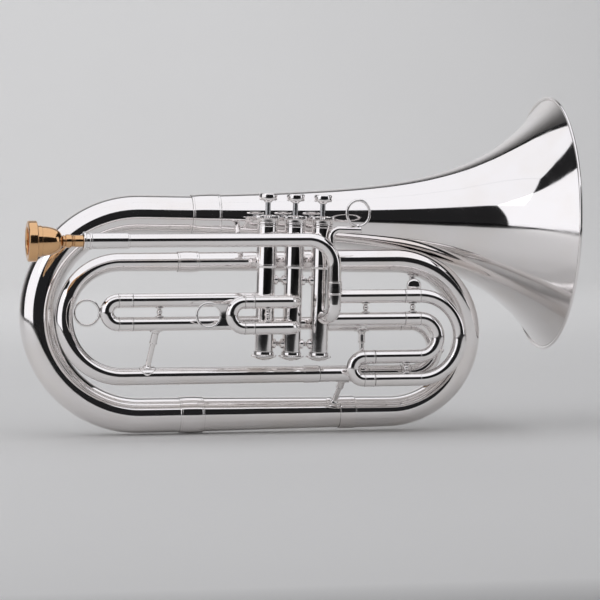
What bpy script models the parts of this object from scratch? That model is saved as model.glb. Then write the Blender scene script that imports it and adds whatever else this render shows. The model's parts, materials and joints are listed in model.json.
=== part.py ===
"""Marching baritone: bell, bows, three piston valves, their slides and the small fittings.

Metres, +Z up, +X towards the bell mouth, +Y to the player's left. The origin lies on the
middle valve's axis, half way up its casing.
"""

import math

import bmesh
import bpy
from mathutils import Matrix, Vector

# Fits, walls and facets
GAP = 0.0003
SLIDE_FIT = 0.00025
TUBE_WALL = 0.0008
BOW_WALL = 0.0010
BAND_RISE = 0.0004
FERRULE_WALL = 0.0009
SMALL_SIDES = 10
LARGE_SIDES = 14
BELL_SIDES = 24
POST_SIDES = 8
SMALL_STEP = math.radians(30)
LARGE_STEP = math.radians(18)
SMOOTH_ANGLE = math.radians(42)
NEGLIGIBLE = 1e-6
DIAGONAL = math.cos(math.radians(45))
MILLIMETRES_PER_METRE = 1000

# Valves
VALVES = (1, 2, 3)
FIRST_VALVE, MIDDLE_VALVE, THIRD_VALVE = VALVES
VALVE_SPACING = 0.0273
VALVE_LEAN = math.radians(1.8)
VALVE_STROKE = 0.012
CASING_RADIUS = 0.0093
CASING_HEAD_RADIUS = 0.0101
CASING_BORE = 0.0082
CASING_HALF_LENGTH = 0.062
CASING_SHOULDER = 0.021
CASING_BAND_WIDTH = 0.002
LINK_RADIUS = 0.0055
LINK_BORE = 0.0042
LINK_UPPER = 0.008
LINK_INSET = 0.008
PORT_RADIUS = 0.0045
CAP_SPIGOT = 0.005
CAP_SPIGOT_WALL = 0.0009
TOP_CAP_RADIUS = 0.0106
TOP_CAP_FLANGE = 0.0118
TOP_CAP_HEIGHT = 0.0087
TOP_CAP_SKIRT = 0.0055
BOTTOM_CAP_RADIUS = 0.0101
BOTTOM_CAP_FLANGE = 0.0123
BOTTOM_CAP_HEIGHT = 0.0083
BOTTOM_CAP_SKIRT = 0.0030
BOTTOM_CAP_FLOOR = 0.0030
PISTON_FIT = 0.0003
PISTON_TOP = 0.046
PISTON_LENGTH = 0.086
PISTON_RECESS = 0.010
PISTON_SKIRT = 0.0014
STEM_RADIUS = 0.0026
STEM_IN_BUTTON = 0.004
BUTTON_RADIUS = 0.0089
BUTTON_THICKNESS = 0.0088
BUTTON_CROWN_RADIUS = 0.0071
BUTTON_NECK_RADIUS = 0.0046
BUTTON_DISH = 0.0008
BUTTON_REST = 0.0004
SPRING_TURNS = 5
SPRING_POINTS = 8
SPRING_SIDES = 4
SPRING_RADIUS = 0.0053
SPRING_WIRE = 0.0011

# Leadpipe, receiver and mouthpiece
LEADPIPE_SIDE = 0.024
LEADPIPE_HEIGHT = 0.048
LEADPIPE_RADIUS = 0.00675
LEADPIPE_BEND = 0.026
LEADPIPE_DROP = 0.0087
LEADPIPE_JOINT = 0.001
LEADPIPE_FERRULE = 0.0125
INLET_HEIGHT = -0.028
INLET_BEND = 0.0135
RECEIVER_MOUTH = -0.2095
RECEIVER_LENGTH = 0.0445
RECEIVER_WALL = 0.0009
RECEIVER_RING = 0.003
RECEIVER_RING_RISE = 0.0009
LEADPIPE_IN_RECEIVER = 0.020
SHANK_IN_RECEIVER = 0.022
SHANK_RADIUS = 0.0060
SHANK_END_RADIUS = 0.0054
SHANK_BORE = 0.0044
SHANK_LENGTH = 0.0205
SHANK_RINGS = 3
SHANK_RING_RISE = 0.0006
SHANK_RING_FIRST = 0.0051
SHANK_RING_STEP = 0.0062
THROAT_BORE = 0.0034
THROAT_RADIUS = 0.0052
CUP_LENGTH = 0.0330
CUP_DEPTH = 0.0280
CUP_RADIUS = 0.0163
CUP_MOUTH = 0.0132
MOUTH_RIM_RADIUS = 0.0196
MOUTH_RIM_LENGTH = 0.0090
MOUTH_RIM_EDGE = 0.0030
MOUTH_RIM_BACK = 0.0010
MOUTH_RIM_BITE = 0.0015
MOUTHPIECE_SIDES = 16
CUP_STATIONS = 4

# Main tuning slide, behind the valves
REAR_ROOM = 0.0009
TUNING_RADIUS = 0.00815
TUNING_EXIT_RADIUS = 0.0064
TUNING_EXIT_BEND = 0.0088
TUNING_UPPER = -0.035
TUNING_GAUGE = 0.050
TUNING_SLEEVE_START = 0.030
TUNING_SLEEVE_END = 0.112
TUNING_BEND_X = 0.122
TUNING_LEG = 0.068
TUNING_BRACE_X = 0.073
SPIGOT_LENGTH = 0.010

# Inner bow and branch, right bow, bottom branch, left bow
INNER_STEP = 0.0130
INNER_HEIGHT = 0.0258
INNER_BOW_X = -0.2215
INNER_JOINT_X = -0.099
INNER_FERRULE = 0.0205
INNER_BOW_RADIUS = 0.0093
INNER_BRANCH_RADIUS = 0.0099
RIGHT_JOINT_X = 0.010
RIGHT_BOW_X = 0.186
RIGHT_BOW_RADIUS = 0.0158
BOTTOM_STEP = 0.0235
BOTTOM_HEIGHT = -0.126
BOTTOM_RADIUS = 0.0172
BOTTOM_END_RADIUS = 0.0152
BOTTOM_JOINT_X = -0.0925
BOTTOM_END_X = 0.057
BOTTOM_FERRULE = 0.0235
SOCKET_DEPTH = 0.015
LEFT_BOW_X = -0.2425
LEFT_BOW_RADIUS = 0.0202

# Bell
BELL_STEP = 0.035
BELL_RIM_X = 0.2757
BELL_RIM_HEIGHT = 0.0617
BELL_PITCH = math.radians(1.3)
BELL_LENGTH = 0.352
BELL_TAIL_RADIUS = 0.0208
BELL_TAPER = 0.0388
BELL_RIM_RADIUS = 0.1272
BELL_FLARE_LENGTH = 0.069
BELL_WALL = 0.0010
BELL_STATIONS = 12
BELL_SPACING_POWER = 1.7
BELL_RIM_LAND = 0.0018
BELL_RIM_BEAD = 0.0030
BELL_RIM_ROUND = 0.0008
BELL_FERRULE = 0.028

# First slide, out of valve 1
FIRST_HEIGHT = -0.0218
FIRST_GAUGE = 0.0226
FIRST_RADIUS = 0.00695
FIRST_SLEEVE_REACH = 0.1300
FIRST_BEND_REACH = 0.1440
FIRST_LEG = 0.100
FIRST_BRACE_REACH = 0.1040
FIRST_RING_RADIUS = 0.0135

# Second slide, out of the front of valve 2
SECOND_HEIGHT = -0.0245
SECOND_GAUGE = 0.0251
SECOND_RADIUS = 0.0063
SECOND_SIDE = 0.020
SECOND_ELBOW = 0.0088
SECOND_SLEEVE_REACH = 0.0415
SECOND_BEND_REACH = 0.0513
SECOND_LEG = 0.024
SECOND_RING_RADIUS = 0.0130
SECOND_RING_SPACE = 0.0032
SECOND_WEB_THICKNESS = 0.0030
SECOND_WEB_HEIGHT = 0.0108
SECOND_WEB_STEPS = 4

# Third slide, out of valve 3
THIRD_HEIGHT = -0.0492
THIRD_RADIUS = 0.00675
THIRD_OUTER_BEND = 0.041
THIRD_INNER_BEND = 0.0186
THIRD_SLEEVE_REACH = 0.0862
THIRD_BEND_REACH = 0.1017
THIRD_RETURN_REACH = 0.0453
THIRD_JOINT_REACH = 0.0560
THIRD_LEG = 0.056
THIRD_SLEEVE_BRACE = 0.0470
THIRD_BOW_BRACE = 0.0945
THIRD_RETURN_BRACE = 0.0880

# Pull rings, finger ring and posts
RING_WIRE = 0.0026
RING_SINK = 0.0010
RING_SIDES = 16
RING_WIRE_SIDES = 6
FINGER_RING_RADIUS = 0.0140
FINGER_RING_TURN = math.radians(-16)
FINGER_ROD_RADIUS = 0.0034
FINGER_ROD_FOOT = 0.024
FINGER_ROD_TOP = 0.0590
FINGER_ROD_REACH = 0.0330
FINGER_ROD_BEND = 0.0085
FINGER_ROD_ANGLE = math.radians(-62)
FINGER_RING_SINK = 0.0012
POST_RADIUS = 0.0027
POST_FOOT_RADIUS = 0.0062
POST_FOOT = 0.0010
POST_SINK = 0.0012
SEAT_SINK = 0.0010
POST_SOCKET_RADIUS = 0.0036
POST_SOCKET = 0.35
SPACER_RADIUS = 0.0023
SPACER_FOOT_RADIUS = 0.0034
SPACER_FOOT = 0.0011
FIRST_STAY_INSET = 0.024
FIRST_STAY_LEAN = 0.009
BOTTOM_STAY_INSET = 0.026
BOTTOM_STAY_LEAN = 0.007
LEADPIPE_STAY_AHEAD = 0.0313
LEADPIPE_STAY_DROP = 0.002
LEADPIPE_STAY_BEND = 0.010

# Water key on the inside of the right bow
KEY_ANGLE = math.radians(-38)
KEY_PIVOT_HEIGHT = 0.0062
KEY_SEAT_DROP = 0.0018
KEY_CUP_REACH = 0.0145
KEY_PADDLE_REACH = 0.0185
KEY_PADDLE_RISE = 0.0048
KEY_PADDLE_WIDTH = 0.0090
KEY_PIN_RADIUS = 0.0010
KEY_PIN_END = 0.0008
KEY_HUB_RADIUS = 0.0026
KEY_WIDTH = 0.0046
KEY_BEAM = 0.0014
KEY_CUP_RADIUS = 0.0046
KEY_CUP_CROWN = 0.0021
KEY_CORK_RADIUS = 0.0036
KEY_CORK_HEIGHT = 0.0014
KEY_CORK_SHOWS = 0.0005
KEY_NIPPLE_RADIUS = 0.0036
KEY_NIPPLE_BORE = 0.0018
KEY_EAR = 0.0014
KEY_EAR_WIDTH = 0.0048
KEY_BASE = 0.0012

# Lyre socket under the right bow
LYRE_ANGLE = math.radians(76)
LYRE_DROP = 0.0105
LYRE_BLOCK = 0.0095
LYRE_BLOCK_DEPTH = 0.0110
LYRE_SLOT = 0.0044
LYRE_NECK_RADIUS = 0.0032
LYRE_SCREW_RADIUS = 0.0076
LYRE_SCREW_HEAD = 0.0030
LYRE_SCREW_DOME = 0.0009
LYRE_SHANK_RADIUS = 0.0020

# Places that follow from the sizes above
TUNING_SIDE = CASING_RADIUS + REAR_ROOM + TUNING_RADIUS
TUNING_LOWER = TUNING_UPPER - TUNING_GAUGE
INNER_SIDE = TUNING_SIDE + INNER_STEP
BOTTOM_SIDE = INNER_SIDE + BOTTOM_STEP
BELL_SIDE = INNER_SIDE + BELL_STEP
LINK_LOWER = LINK_INSET - CASING_HALF_LENGTH
CAP_TOP = CASING_HALF_LENGTH + GAP + TOP_CAP_HEIGHT
BUTTON_BASE = CAP_TOP + BUTTON_REST + VALVE_STROKE
PISTON_RADIUS = CASING_BORE - PISTON_FIT
PISTON_BOTTOM = PISTON_TOP - PISTON_LENGTH
SPIGOT_RADIUS = CASING_BORE - PISTON_FIT
CAP_FLOOR = -CASING_HALF_LENGTH - GAP - BOTTOM_CAP_HEIGHT + BOTTOM_CAP_FLOOR
LEADPIPE_SPOT = VALVE_SPACING + LEADPIPE_DROP
RECEIVER_BORE = LEADPIPE_RADIUS + SLIDE_FIT
BOTTOM_STAY_X = TUNING_SLEEVE_START + BOTTOM_STAY_INSET
LEADPIPE_STAY_X = BELL_RIM_X - BELL_LENGTH + LEADPIPE_STAY_AHEAD
X_AXIS = Vector((1, 0, 0))
Y_AXIS = Vector((0, 1, 0))
Z_AXIS = Vector((0, 0, 1))

# Finishes: colour, metallic, roughness
SILVER = ((0.88, 0.87, 0.85), 1.0, 0.12)
GOLD = ((0.83, 0.58, 0.23), 1.0, 0.18)
STEEL = ((0.55, 0.55, 0.56), 1.0, 0.30)
CORK = ((0.48, 0.33, 0.20), 0.0, 0.85)


class Route:
    """A centre line of straight runs joined by round bends."""

    def __init__(self, corners, radii=(), step=SMALL_STEP):
        self.pieces = []
        self.breaks = [0.0]
        self.length = 0.0
        points = [Vector(corner) for corner in corners]
        start = points[0]
        for corner, after, radius in zip(points[1:-1], points[2:], radii):
            inward = (corner - start).normalized()
            outward = (after - corner).normalized()
            turn = inward.angle(outward)
            setback = radius * math.tan(turn / 2)
            self.add_run(start, corner - inward * setback)
            toward = (outward - inward * inward.dot(outward)).normalized()
            self.add_bend(corner - inward * setback, inward, toward, radius, turn, step)
            start = corner + outward * setback
        self.add_run(start, points[-1])

    def add_run(self, start, end):
        run = end - start
        if run.length < NEGLIGIBLE:
            return
        heading = run.normalized()
        self.pieces.append((self.length, lambda along: (start + heading * along, heading)))
        self.length += run.length
        self.breaks.append(self.length)

    def add_bend(self, start, inward, toward, radius, turn, step):
        centre = start + toward * radius

        def place(along):
            angle = along / radius
            spoke = inward * math.sin(angle) - toward * math.cos(angle)
            return centre + spoke * radius, inward * math.cos(angle) + toward * math.sin(angle)

        self.pieces.append((self.length, place))
        count = max(1, round(turn / step))
        self.breaks += [self.length + turn * radius * (i + 1) / count for i in range(count)]
        self.length += turn * radius

    def at(self, distance):
        """The point and heading at a distance along the line."""
        begin, place = [piece for piece in self.pieces if piece[0] <= distance + NEGLIGIBLE][-1]
        return place(distance - begin)

    def stations(self, knots):
        """The knots, with the line's own breaks put in between and their radii worked out."""
        found = [knots[0]]
        for first, second in zip(knots, knots[1:]):
            for spot in self.breaks:
                if first[0] + NEGLIGIBLE < spot < second[0] - NEGLIGIBLE:
                    share = (spot - first[0]) / (second[0] - first[0])
                    radii = [a + (b - a) * share for a, b in zip(first[1:], second[1:])]
                    found.append((spot, *radii))
            found.append(second)
        return found


def even_bends(corners):
    """The largest one radius that fits both bends of a four-cornered line."""
    a, b, c, d = [Vector(corner) for corner in corners]
    turns = ((b - a).angle(c - b), (c - b).angle(d - c))
    return (c - b).length / sum(math.tan(turn / 2) for turn in turns)


def bore_around(radius, sides):
    """A bore that a tube slides in, however the facets of the two lie."""
    return (radius + SLIDE_FIT) / math.cos(math.pi / sides)


def spigot_within(radius, sides):
    """The outside of a tube that slides in a bore, however the facets of the two lie."""
    return radius * math.cos(math.pi / sides) - SLIDE_FIT


def material(name, finish):
    colour, metallic, roughness = finish
    made = bpy.data.materials.new(name)
    made.use_nodes = True
    shader = made.node_tree.nodes["Principled BSDF"]
    shader.inputs["Base Color"].default_value = (*colour, 1)
    shader.inputs["Metallic"].default_value = metallic
    shader.inputs["Roughness"].default_value = roughness
    return made


def frame(name, location, axis=Z_AXIS, parent=None, guide=None):
    """An empty with its own Z along an axis and its own Y as near the guide as that allows."""
    axis = Vector(axis).normalized()
    guide = guide or (Y_AXIS if abs(axis.dot(Y_AXIS)) < DIAGONAL else Z_AXIS)
    across = guide.cross(axis).normalized()
    empty = bpy.data.objects.new(name, None)
    bpy.context.collection.objects.link(empty)
    empty.location = location
    empty.rotation_euler = Matrix((across, axis.cross(across), axis)).transposed().to_euler()
    empty.parent = parent
    return empty


def add_object(name, bm, finish, parent):
    bmesh.ops.recalc_face_normals(bm, faces=bm.faces)
    mesh = bpy.data.meshes.new(name)
    bm.to_mesh(mesh)
    bm.free()
    mesh.shade_smooth()
    mesh.set_sharp_from_angle(angle=SMOOTH_ANGLE)
    made = bpy.data.objects.new(name, mesh)
    bpy.context.collection.objects.link(made)
    made.parent = parent
    if finish:
        mesh.materials.append(material(name, finish))
    else:
        made.hide_render = True
        made.display_type = "WIRE"
    return made


def ring(bm, centre, side, up, radius, sides):
    angles = [(2 * i + 1) * math.pi / sides for i in range(sides)]
    return [bm.verts.new(centre + (side * math.cos(a) + up * math.sin(a)) * radius) for a in angles]


def skin(bm, loops, closed):
    """Faces between loops that follow each other; a loop of one vertex makes a fan."""
    pairs = list(zip(loops, loops[1:]))
    if closed:
        pairs.append((loops[-1], loops[0]))
    for first, second in pairs:
        for i in range(max(len(first), len(second))):
            j = i + 1
            corners = (first[i % len(first)], first[j % len(first)])
            corners += (second[j % len(second)], second[i % len(second)])
            bm.faces.new(list(dict.fromkeys(corners)))


def cross_frames(route, distances):
    """Centre, side and up at each distance, turning no more than the line does."""
    found = []
    heading = side = None
    for distance in distances:
        point, tangent = route.at(distance)
        if side is None:
            start = Y_AXIS if abs(tangent.dot(Y_AXIS)) < DIAGONAL else X_AXIS
            side = (start - tangent * tangent.dot(start)).normalized()
        else:
            side = heading.rotation_difference(tangent) @ side
        heading = tangent
        found.append((point, side, tangent.cross(side)))
    return found


def tube(name, route, knots, finish, sides=SMALL_SIDES, parent=None):
    """A hollow tube along a line. Each knot is a distance, an outer radius and a bore radius."""
    stations = route.stations(knots)
    frames = cross_frames(route, [station[0] for station in stations])
    bm = bmesh.new()
    walls = []
    for column in (1, 2):
        loops = []
        last = None
        for station, place in zip(stations, frames):
            if last != (station[0], station[column]):
                loops.append(ring(bm, *place, station[column], sides))
            last = (station[0], station[column])
        walls.append(loops)
    skin(bm, walls[0] + walls[1][::-1], closed=True)
    return add_object(name, bm, finish, parent)


def rod(name, corners, radius, finish=None, radii=(), sides=SMALL_SIDES, parent=None):
    """A solid round bar along a line."""
    route = Route(corners, radii)
    bm = bmesh.new()
    loops = [ring(bm, *place, radius, sides) for place in cross_frames(route, route.breaks)]
    bm.faces.new(loops[0])
    bm.faces.new(loops[-1])
    skin(bm, loops, closed=False)
    return add_object(name, bm, finish, parent)


def turned(name, outline, finish, sides, parent):
    """A piece turned about its own Z from points of radius and height."""
    bm = bmesh.new()
    loops = []
    for radius, height in outline:
        centre = Z_AXIS * height
        if radius < NEGLIGIBLE:
            loops.append([bm.verts.new(centre)])
        else:
            loops.append(ring(bm, centre, X_AXIS, Y_AXIS, radius, sides))
    skin(bm, loops, closed=len(loops[0]) > 1)
    return add_object(name, bm, finish, parent)


def block(name, low, high, finish, parent):
    """A box between two corners."""
    bm = bmesh.new()
    bmesh.ops.create_cube(bm, size=1)
    low, high = Vector(low), Vector(high)
    for vert in bm.verts:
        vert.co = (low + high) / 2 + vert.co * (high - low)
    return add_object(name, bm, finish, parent)


def combine(part, operation, *tools):
    """Joins, cuts or keeps what the tools cover."""
    for tool in tools:
        modifier = part.modifiers.new(tool.name, "BOOLEAN")
        modifier.operation = operation
        modifier.object = tool
        modifier.solver = "EXACT"


def hoop(name, radius, finish, parent):
    """A round wire ring about its own Z; the radius is to the outside."""
    wire = RING_WIRE / 2
    angles = [i * 2 * math.pi / RING_WIRE_SIDES for i in range(RING_WIRE_SIDES)]
    outline = [(radius - wire + wire * math.cos(a), wire * math.sin(a)) for a in angles]
    return turned(name, outline, finish, RING_SIDES, parent)


def seat_on_tubes(stay, *tubes):
    """Cuts a stay's ends to sit on tubes that run along X, each given by a point and a radius."""
    reach = X_AXIS * POST_FOOT_RADIUS * 2
    for spot, radius in tubes:
        line = [Vector(spot) - reach, Vector(spot) + reach]
        combine(stay, "DIFFERENCE", rod(f"{stay.name}_seat", line, radius + GAP, sides=LARGE_SIDES))


def post(name, start, start_radius, end, end_radius):
    """A stay between two tubes that run along X: a foot seated on each, a socket at its start."""
    start, end = Vector(start), Vector(end)
    along = (end - start).normalized()
    place = frame(name + "_axis", start + along * (start_radius - POST_SINK), along)
    length = (end - start).length - start_radius - end_radius + 2 * POST_SINK
    foot = POST_SINK + POST_FOOT
    socket = length * POST_SOCKET
    outline = [
        (0, 0),
        (POST_FOOT_RADIUS, 0),
        (POST_FOOT_RADIUS, foot),
        (POST_SOCKET_RADIUS, foot + POST_FOOT),
        (POST_SOCKET_RADIUS, socket),
        (POST_RADIUS, socket),
        (POST_RADIUS, length - foot - POST_FOOT),
        (POST_FOOT_RADIUS, length - foot),
        (POST_FOOT_RADIUS, length),
        (0, length),
    ]
    stay = turned(name, outline, SILVER, POST_SIDES, place)
    seat_on_tubes(stay, (start, start_radius), (end, end_radius))
    return stay


def spacer(name, place, along, upper, lower, tube_radius):
    """A short turned pillar between two parallel tubes of one slide."""
    place = frame(name + "_axis", (along, 0, lower + tube_radius + GAP), Z_AXIS, place)
    length = upper - lower - 2 * tube_radius - 2 * GAP
    outline = [
        (0, 0),
        (SPACER_FOOT_RADIUS, 0),
        (SPACER_RADIUS, SPACER_FOOT),
        (SPACER_RADIUS, length - SPACER_FOOT),
        (SPACER_FOOT_RADIUS, length),
        (0, length),
    ]
    return turned(name, outline, SILVER, POST_SIDES, place)


def ferrule(name, start, end, tube_radius, wall=FERRULE_WALL, sides=LARGE_SIDES):
    """A collar over a joint between two tubes."""
    route = Route([start, end])
    bore = bore_around(tube_radius, sides)
    inset = wall
    knots = [
        (0, bore + wall / 2, bore),
        (inset, bore + wall, bore),
        (route.length - inset, bore + wall, bore),
        (route.length, bore + wall / 2, bore),
    ]
    return tube(name, route, knots, SILVER, sides)


# Valve cluster


def valve_direction():
    return Vector((math.sin(VALVE_LEAN), 0, math.cos(VALVE_LEAN)))


def valve_point(number, height):
    """The point of a valve's axis at a height in the object's own frame."""
    up = valve_direction()
    foot = Y_AXIS.cross(up) * (number - MIDDLE_VALVE) * VALVE_SPACING
    return foot + up * (height - foot.z) / up.z


def casing_outline():
    half = CASING_HALF_LENGTH
    band = CASING_HEAD_RADIUS + BAND_RISE
    return [
        (CASING_RADIUS, -half),
        (CASING_RADIUS, CASING_SHOULDER),
        (band, CASING_SHOULDER),
        (band, CASING_SHOULDER + CASING_BAND_WIDTH),
        (CASING_HEAD_RADIUS, CASING_SHOULDER + CASING_BAND_WIDTH),
        (CASING_HEAD_RADIUS, half),
    ]


def make_casing(number, places, clearances):
    """An open casing. The middle one carries the links to its neighbours."""
    half = CASING_HALF_LENGTH
    place = places[number]
    outline = [(0, -half), *casing_outline(), (0, half)]
    casing = turned(f"casing_{number}", outline, SILVER, LARGE_SIDES, place)
    if number == MIDDLE_VALVE:
        for label, height in (("upper", LINK_UPPER), ("lower", LINK_LOWER)):
            ends = [(-VALVE_SPACING, 0, height), (VALVE_SPACING, 0, height)]
            combine(casing, "UNION", rod(f"{label}_link", ends, LINK_RADIUS, parent=place))
        combine(casing, "DIFFERENCE", clearances[number - 1], clearances[number + 1])
    ends = [(0, 0, -half - GAP), (0, 0, half + GAP)]
    bore = rod(f"casing_bore_{number}", ends, CASING_BORE, sides=LARGE_SIDES, parent=place)
    combine(casing, "DIFFERENCE", bore)
    return casing


def make_top_cap(number, place):
    base = CASING_HALF_LENGTH + GAP
    skirt = base + TOP_CAP_SKIRT
    hole = STEM_RADIUS + GAP
    inside = SPIGOT_RADIUS - CAP_SPIGOT_WALL
    crown = CAP_TOP - CAP_SPIGOT_WALL
    outline = [
        (SPIGOT_RADIUS, base - CAP_SPIGOT),
        (SPIGOT_RADIUS, base),
        (TOP_CAP_RADIUS, base),
        (TOP_CAP_RADIUS, skirt),
        (TOP_CAP_FLANGE, skirt),
        (TOP_CAP_FLANGE, crown),
        (TOP_CAP_RADIUS, CAP_TOP),
        (hole, CAP_TOP),
        (hole, crown),
        (inside, crown - CAP_SPIGOT_WALL),
        (inside, base - CAP_SPIGOT),
    ]
    return turned(f"top_cap_{number}", outline, SILVER, SMALL_SIDES, place)


def make_bottom_cap(number, place):
    top = -CASING_HALF_LENGTH - GAP
    skirt = top - BOTTOM_CAP_SKIRT
    lowest = top - BOTTOM_CAP_HEIGHT
    inside = SPIGOT_RADIUS - CAP_SPIGOT_WALL
    outline = [
        (0, lowest),
        (BOTTOM_CAP_RADIUS / 2, lowest + BAND_RISE),
        (BOTTOM_CAP_RADIUS, (lowest + skirt) / 2),
        (BOTTOM_CAP_FLANGE, skirt - BOTTOM_CAP_SKIRT / 2),
        (BOTTOM_CAP_FLANGE, skirt),
        (BOTTOM_CAP_RADIUS, skirt),
        (BOTTOM_CAP_RADIUS, top),
        (SPIGOT_RADIUS, top),
        (SPIGOT_RADIUS, top + CAP_SPIGOT),
        (inside, top + CAP_SPIGOT),
        (inside, CAP_FLOOR),
        (0, CAP_FLOOR),
    ]
    return turned(f"bottom_cap_{number}", outline, SILVER, SMALL_SIDES, place)


def make_piston(number, place):
    """A piston with its stem, its spring recess and the passage that is open at rest."""
    recess = PISTON_BOTTOM + PISTON_RECESS
    stem_top = BUTTON_BASE + STEM_IN_BUTTON
    outline = [
        (0, recess),
        (PISTON_RADIUS - PISTON_SKIRT, recess),
        (PISTON_RADIUS - PISTON_SKIRT, PISTON_BOTTOM),
        (PISTON_RADIUS, PISTON_BOTTOM),
        (PISTON_RADIUS, PISTON_TOP),
        (STEM_RADIUS, PISTON_TOP),
        (STEM_RADIUS, stem_top),
        (0, stem_top),
    ]
    piston = turned(f"piston_{number}", outline, STEEL, LARGE_SIDES, place)
    ends = [(-VALVE_SPACING / 2, 0, LINK_UPPER), (VALVE_SPACING / 2, 0, LINK_UPPER)]
    combine(piston, "DIFFERENCE", rod(f"passage_{number}", ends, LINK_BORE, parent=place))
    return piston


def make_button(number, place):
    hole = STEM_RADIUS + GAP
    top = BUTTON_BASE + BUTTON_THICKNESS
    edge = BUTTON_BASE + BUTTON_THICKNESS / 2
    outline = [
        (0, top - BUTTON_DISH),
        (BUTTON_CROWN_RADIUS, top),
        (BUTTON_RADIUS, top - BUTTON_DISH),
        (BUTTON_RADIUS, edge),
        (BUTTON_NECK_RADIUS, BUTTON_BASE),
        (hole, BUTTON_BASE),
        (hole, BUTTON_BASE + STEM_IN_BUTTON + GAP),
        (0, BUTTON_BASE + STEM_IN_BUTTON + GAP),
    ]
    return turned(f"button_{number}", outline, SILVER, LARGE_SIDES, place)


def make_spring(number, place):
    """The return spring under a piston: one helix from the cap's floor to the piston's recess."""
    wire = SPRING_WIRE / 2
    low = CAP_FLOOR + GAP + wire
    high = PISTON_BOTTOM + PISTON_RECESS - GAP - wire
    count = SPRING_TURNS * SPRING_POINTS
    points = []
    for i in range(count + 1):
        angle = 2 * math.pi * i / SPRING_POINTS
        height = low + (high - low) * i / count
        points.append(Vector((SPRING_RADIUS * math.cos(angle), SPRING_RADIUS * math.sin(angle), height)))
    bm = bmesh.new()
    loops = []
    for i, point in enumerate(points):
        heading = (points[min(i + 1, count)] - points[max(i - 1, 0)]).normalized()
        side = Vector((point.x, point.y, 0)).normalized()
        loops.append(ring(bm, point, side, heading.cross(side), wire, SPRING_SIDES))
    bm.faces.new(loops[0])
    bm.faces.new(loops[-1])
    skin(bm, loops, closed=False)
    gaps = [(b - a).length - SPRING_WIRE for a, b in zip(points, points[SPRING_POINTS:])]
    print(f"spring {number}: least gap between turns {min(gaps) * MILLIMETRES_PER_METRE:.2f} mm")
    return add_object(f"spring_{number}", bm, STEEL, place)


def make_valves():
    """Three valves on one leaning frame, with the shapes that keep other tubes clear of them."""
    cluster = frame("valve_cluster", (0, 0, 0), valve_direction())
    half = CASING_HALF_LENGTH
    places = {}
    clearances = {}
    for number in VALVES:
        spot = ((number - MIDDLE_VALVE) * VALVE_SPACING, 0, 0)
        places[number] = frame(f"valve_{number}", spot, Z_AXIS, cluster)
        around = [(radius + GAP, height) for radius, height in casing_outline()]
        outline = [(0, -half), *around, (0, half)]
        clearances[number] = turned(f"clearance_{number}", outline, None, LARGE_SIDES, places[number])
    casings = {number: make_casing(number, places, clearances) for number in VALVES}
    for number, place in places.items():
        make_top_cap(number, place)
        make_bottom_cap(number, place)
        make_piston(number, place)
        make_button(number, place)
        make_spring(number, place)
    across = [(-VALVE_SPACING, 0, LINK_UPPER), (VALVE_SPACING, 0, LINK_UPPER)]
    passage = rod("link_passage", across, LINK_BORE, parent=places[MIDDLE_VALVE])
    for casing in casings.values():
        combine(casing, "DIFFERENCE", passage)
    return places, casings, clearances


# Mouthpipe


def make_leadpipe(casings, clearances):
    """Receiver, leadpipe and the elbow into valve 3, whose upper end is a ferrule on the leadpipe."""
    y, z = -LEADPIPE_SIDE, LEADPIPE_HEIGHT
    start = RECEIVER_MOUTH + RECEIVER_LENGTH - LEADPIPE_IN_RECEIVER
    receiver_end = RECEIVER_MOUTH + RECEIVER_LENGTH
    joint = LEADPIPE_JOINT
    bore = LEADPIPE_RADIUS - TUBE_WALL
    route = Route([(start, y, z), (LEADPIPE_SPOT, y, z), (LEADPIPE_SPOT, y, joint)], [LEADPIPE_BEND])
    knots = [(0, LEADPIPE_RADIUS, bore), (route.length, LEADPIPE_RADIUS, bore)]
    tube("leadpipe", route, knots, SILVER)

    outside = RECEIVER_BORE + RECEIVER_WALL
    bead = outside + RECEIVER_RING_RISE
    route = Route([(RECEIVER_MOUTH, y, z), (receiver_end, y, z)])
    knots = [
        (0, bead, RECEIVER_BORE),
        (RECEIVER_RING, bead, RECEIVER_BORE),
        (RECEIVER_RING, outside, RECEIVER_BORE),
        (route.length, outside, RECEIVER_BORE),
    ]
    tube("receiver", route, knots, SILVER)

    half = LEADPIPE_FERRULE / 2
    target = valve_point(THIRD_VALVE, INLET_HEIGHT)
    corner = Vector((LEADPIPE_SPOT, y, target.z))
    route = Route([(LEADPIPE_SPOT, y, joint + half), corner, target], [INLET_BEND])
    socket = LEADPIPE_RADIUS + SLIDE_FIT
    knots = [
        (0, socket + TUBE_WALL, socket),
        (half + GAP, socket + TUBE_WALL, socket),
        (half + GAP, socket + TUBE_WALL, bore),
        (2 * half, socket + TUBE_WALL, bore),
        (2 * half, LEADPIPE_RADIUS, bore),
        (route.length, LEADPIPE_RADIUS, bore),
    ]
    elbow = tube("inlet_elbow", route, knots, SILVER)
    combine(elbow, "DIFFERENCE", clearances[THIRD_VALVE])
    combine(casings[THIRD_VALVE], "DIFFERENCE", rod("inlet_port", [corner, target], PORT_RADIUS))
    return rod("inlet_clearance", [corner, target], LEADPIPE_RADIUS + GAP)


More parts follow.
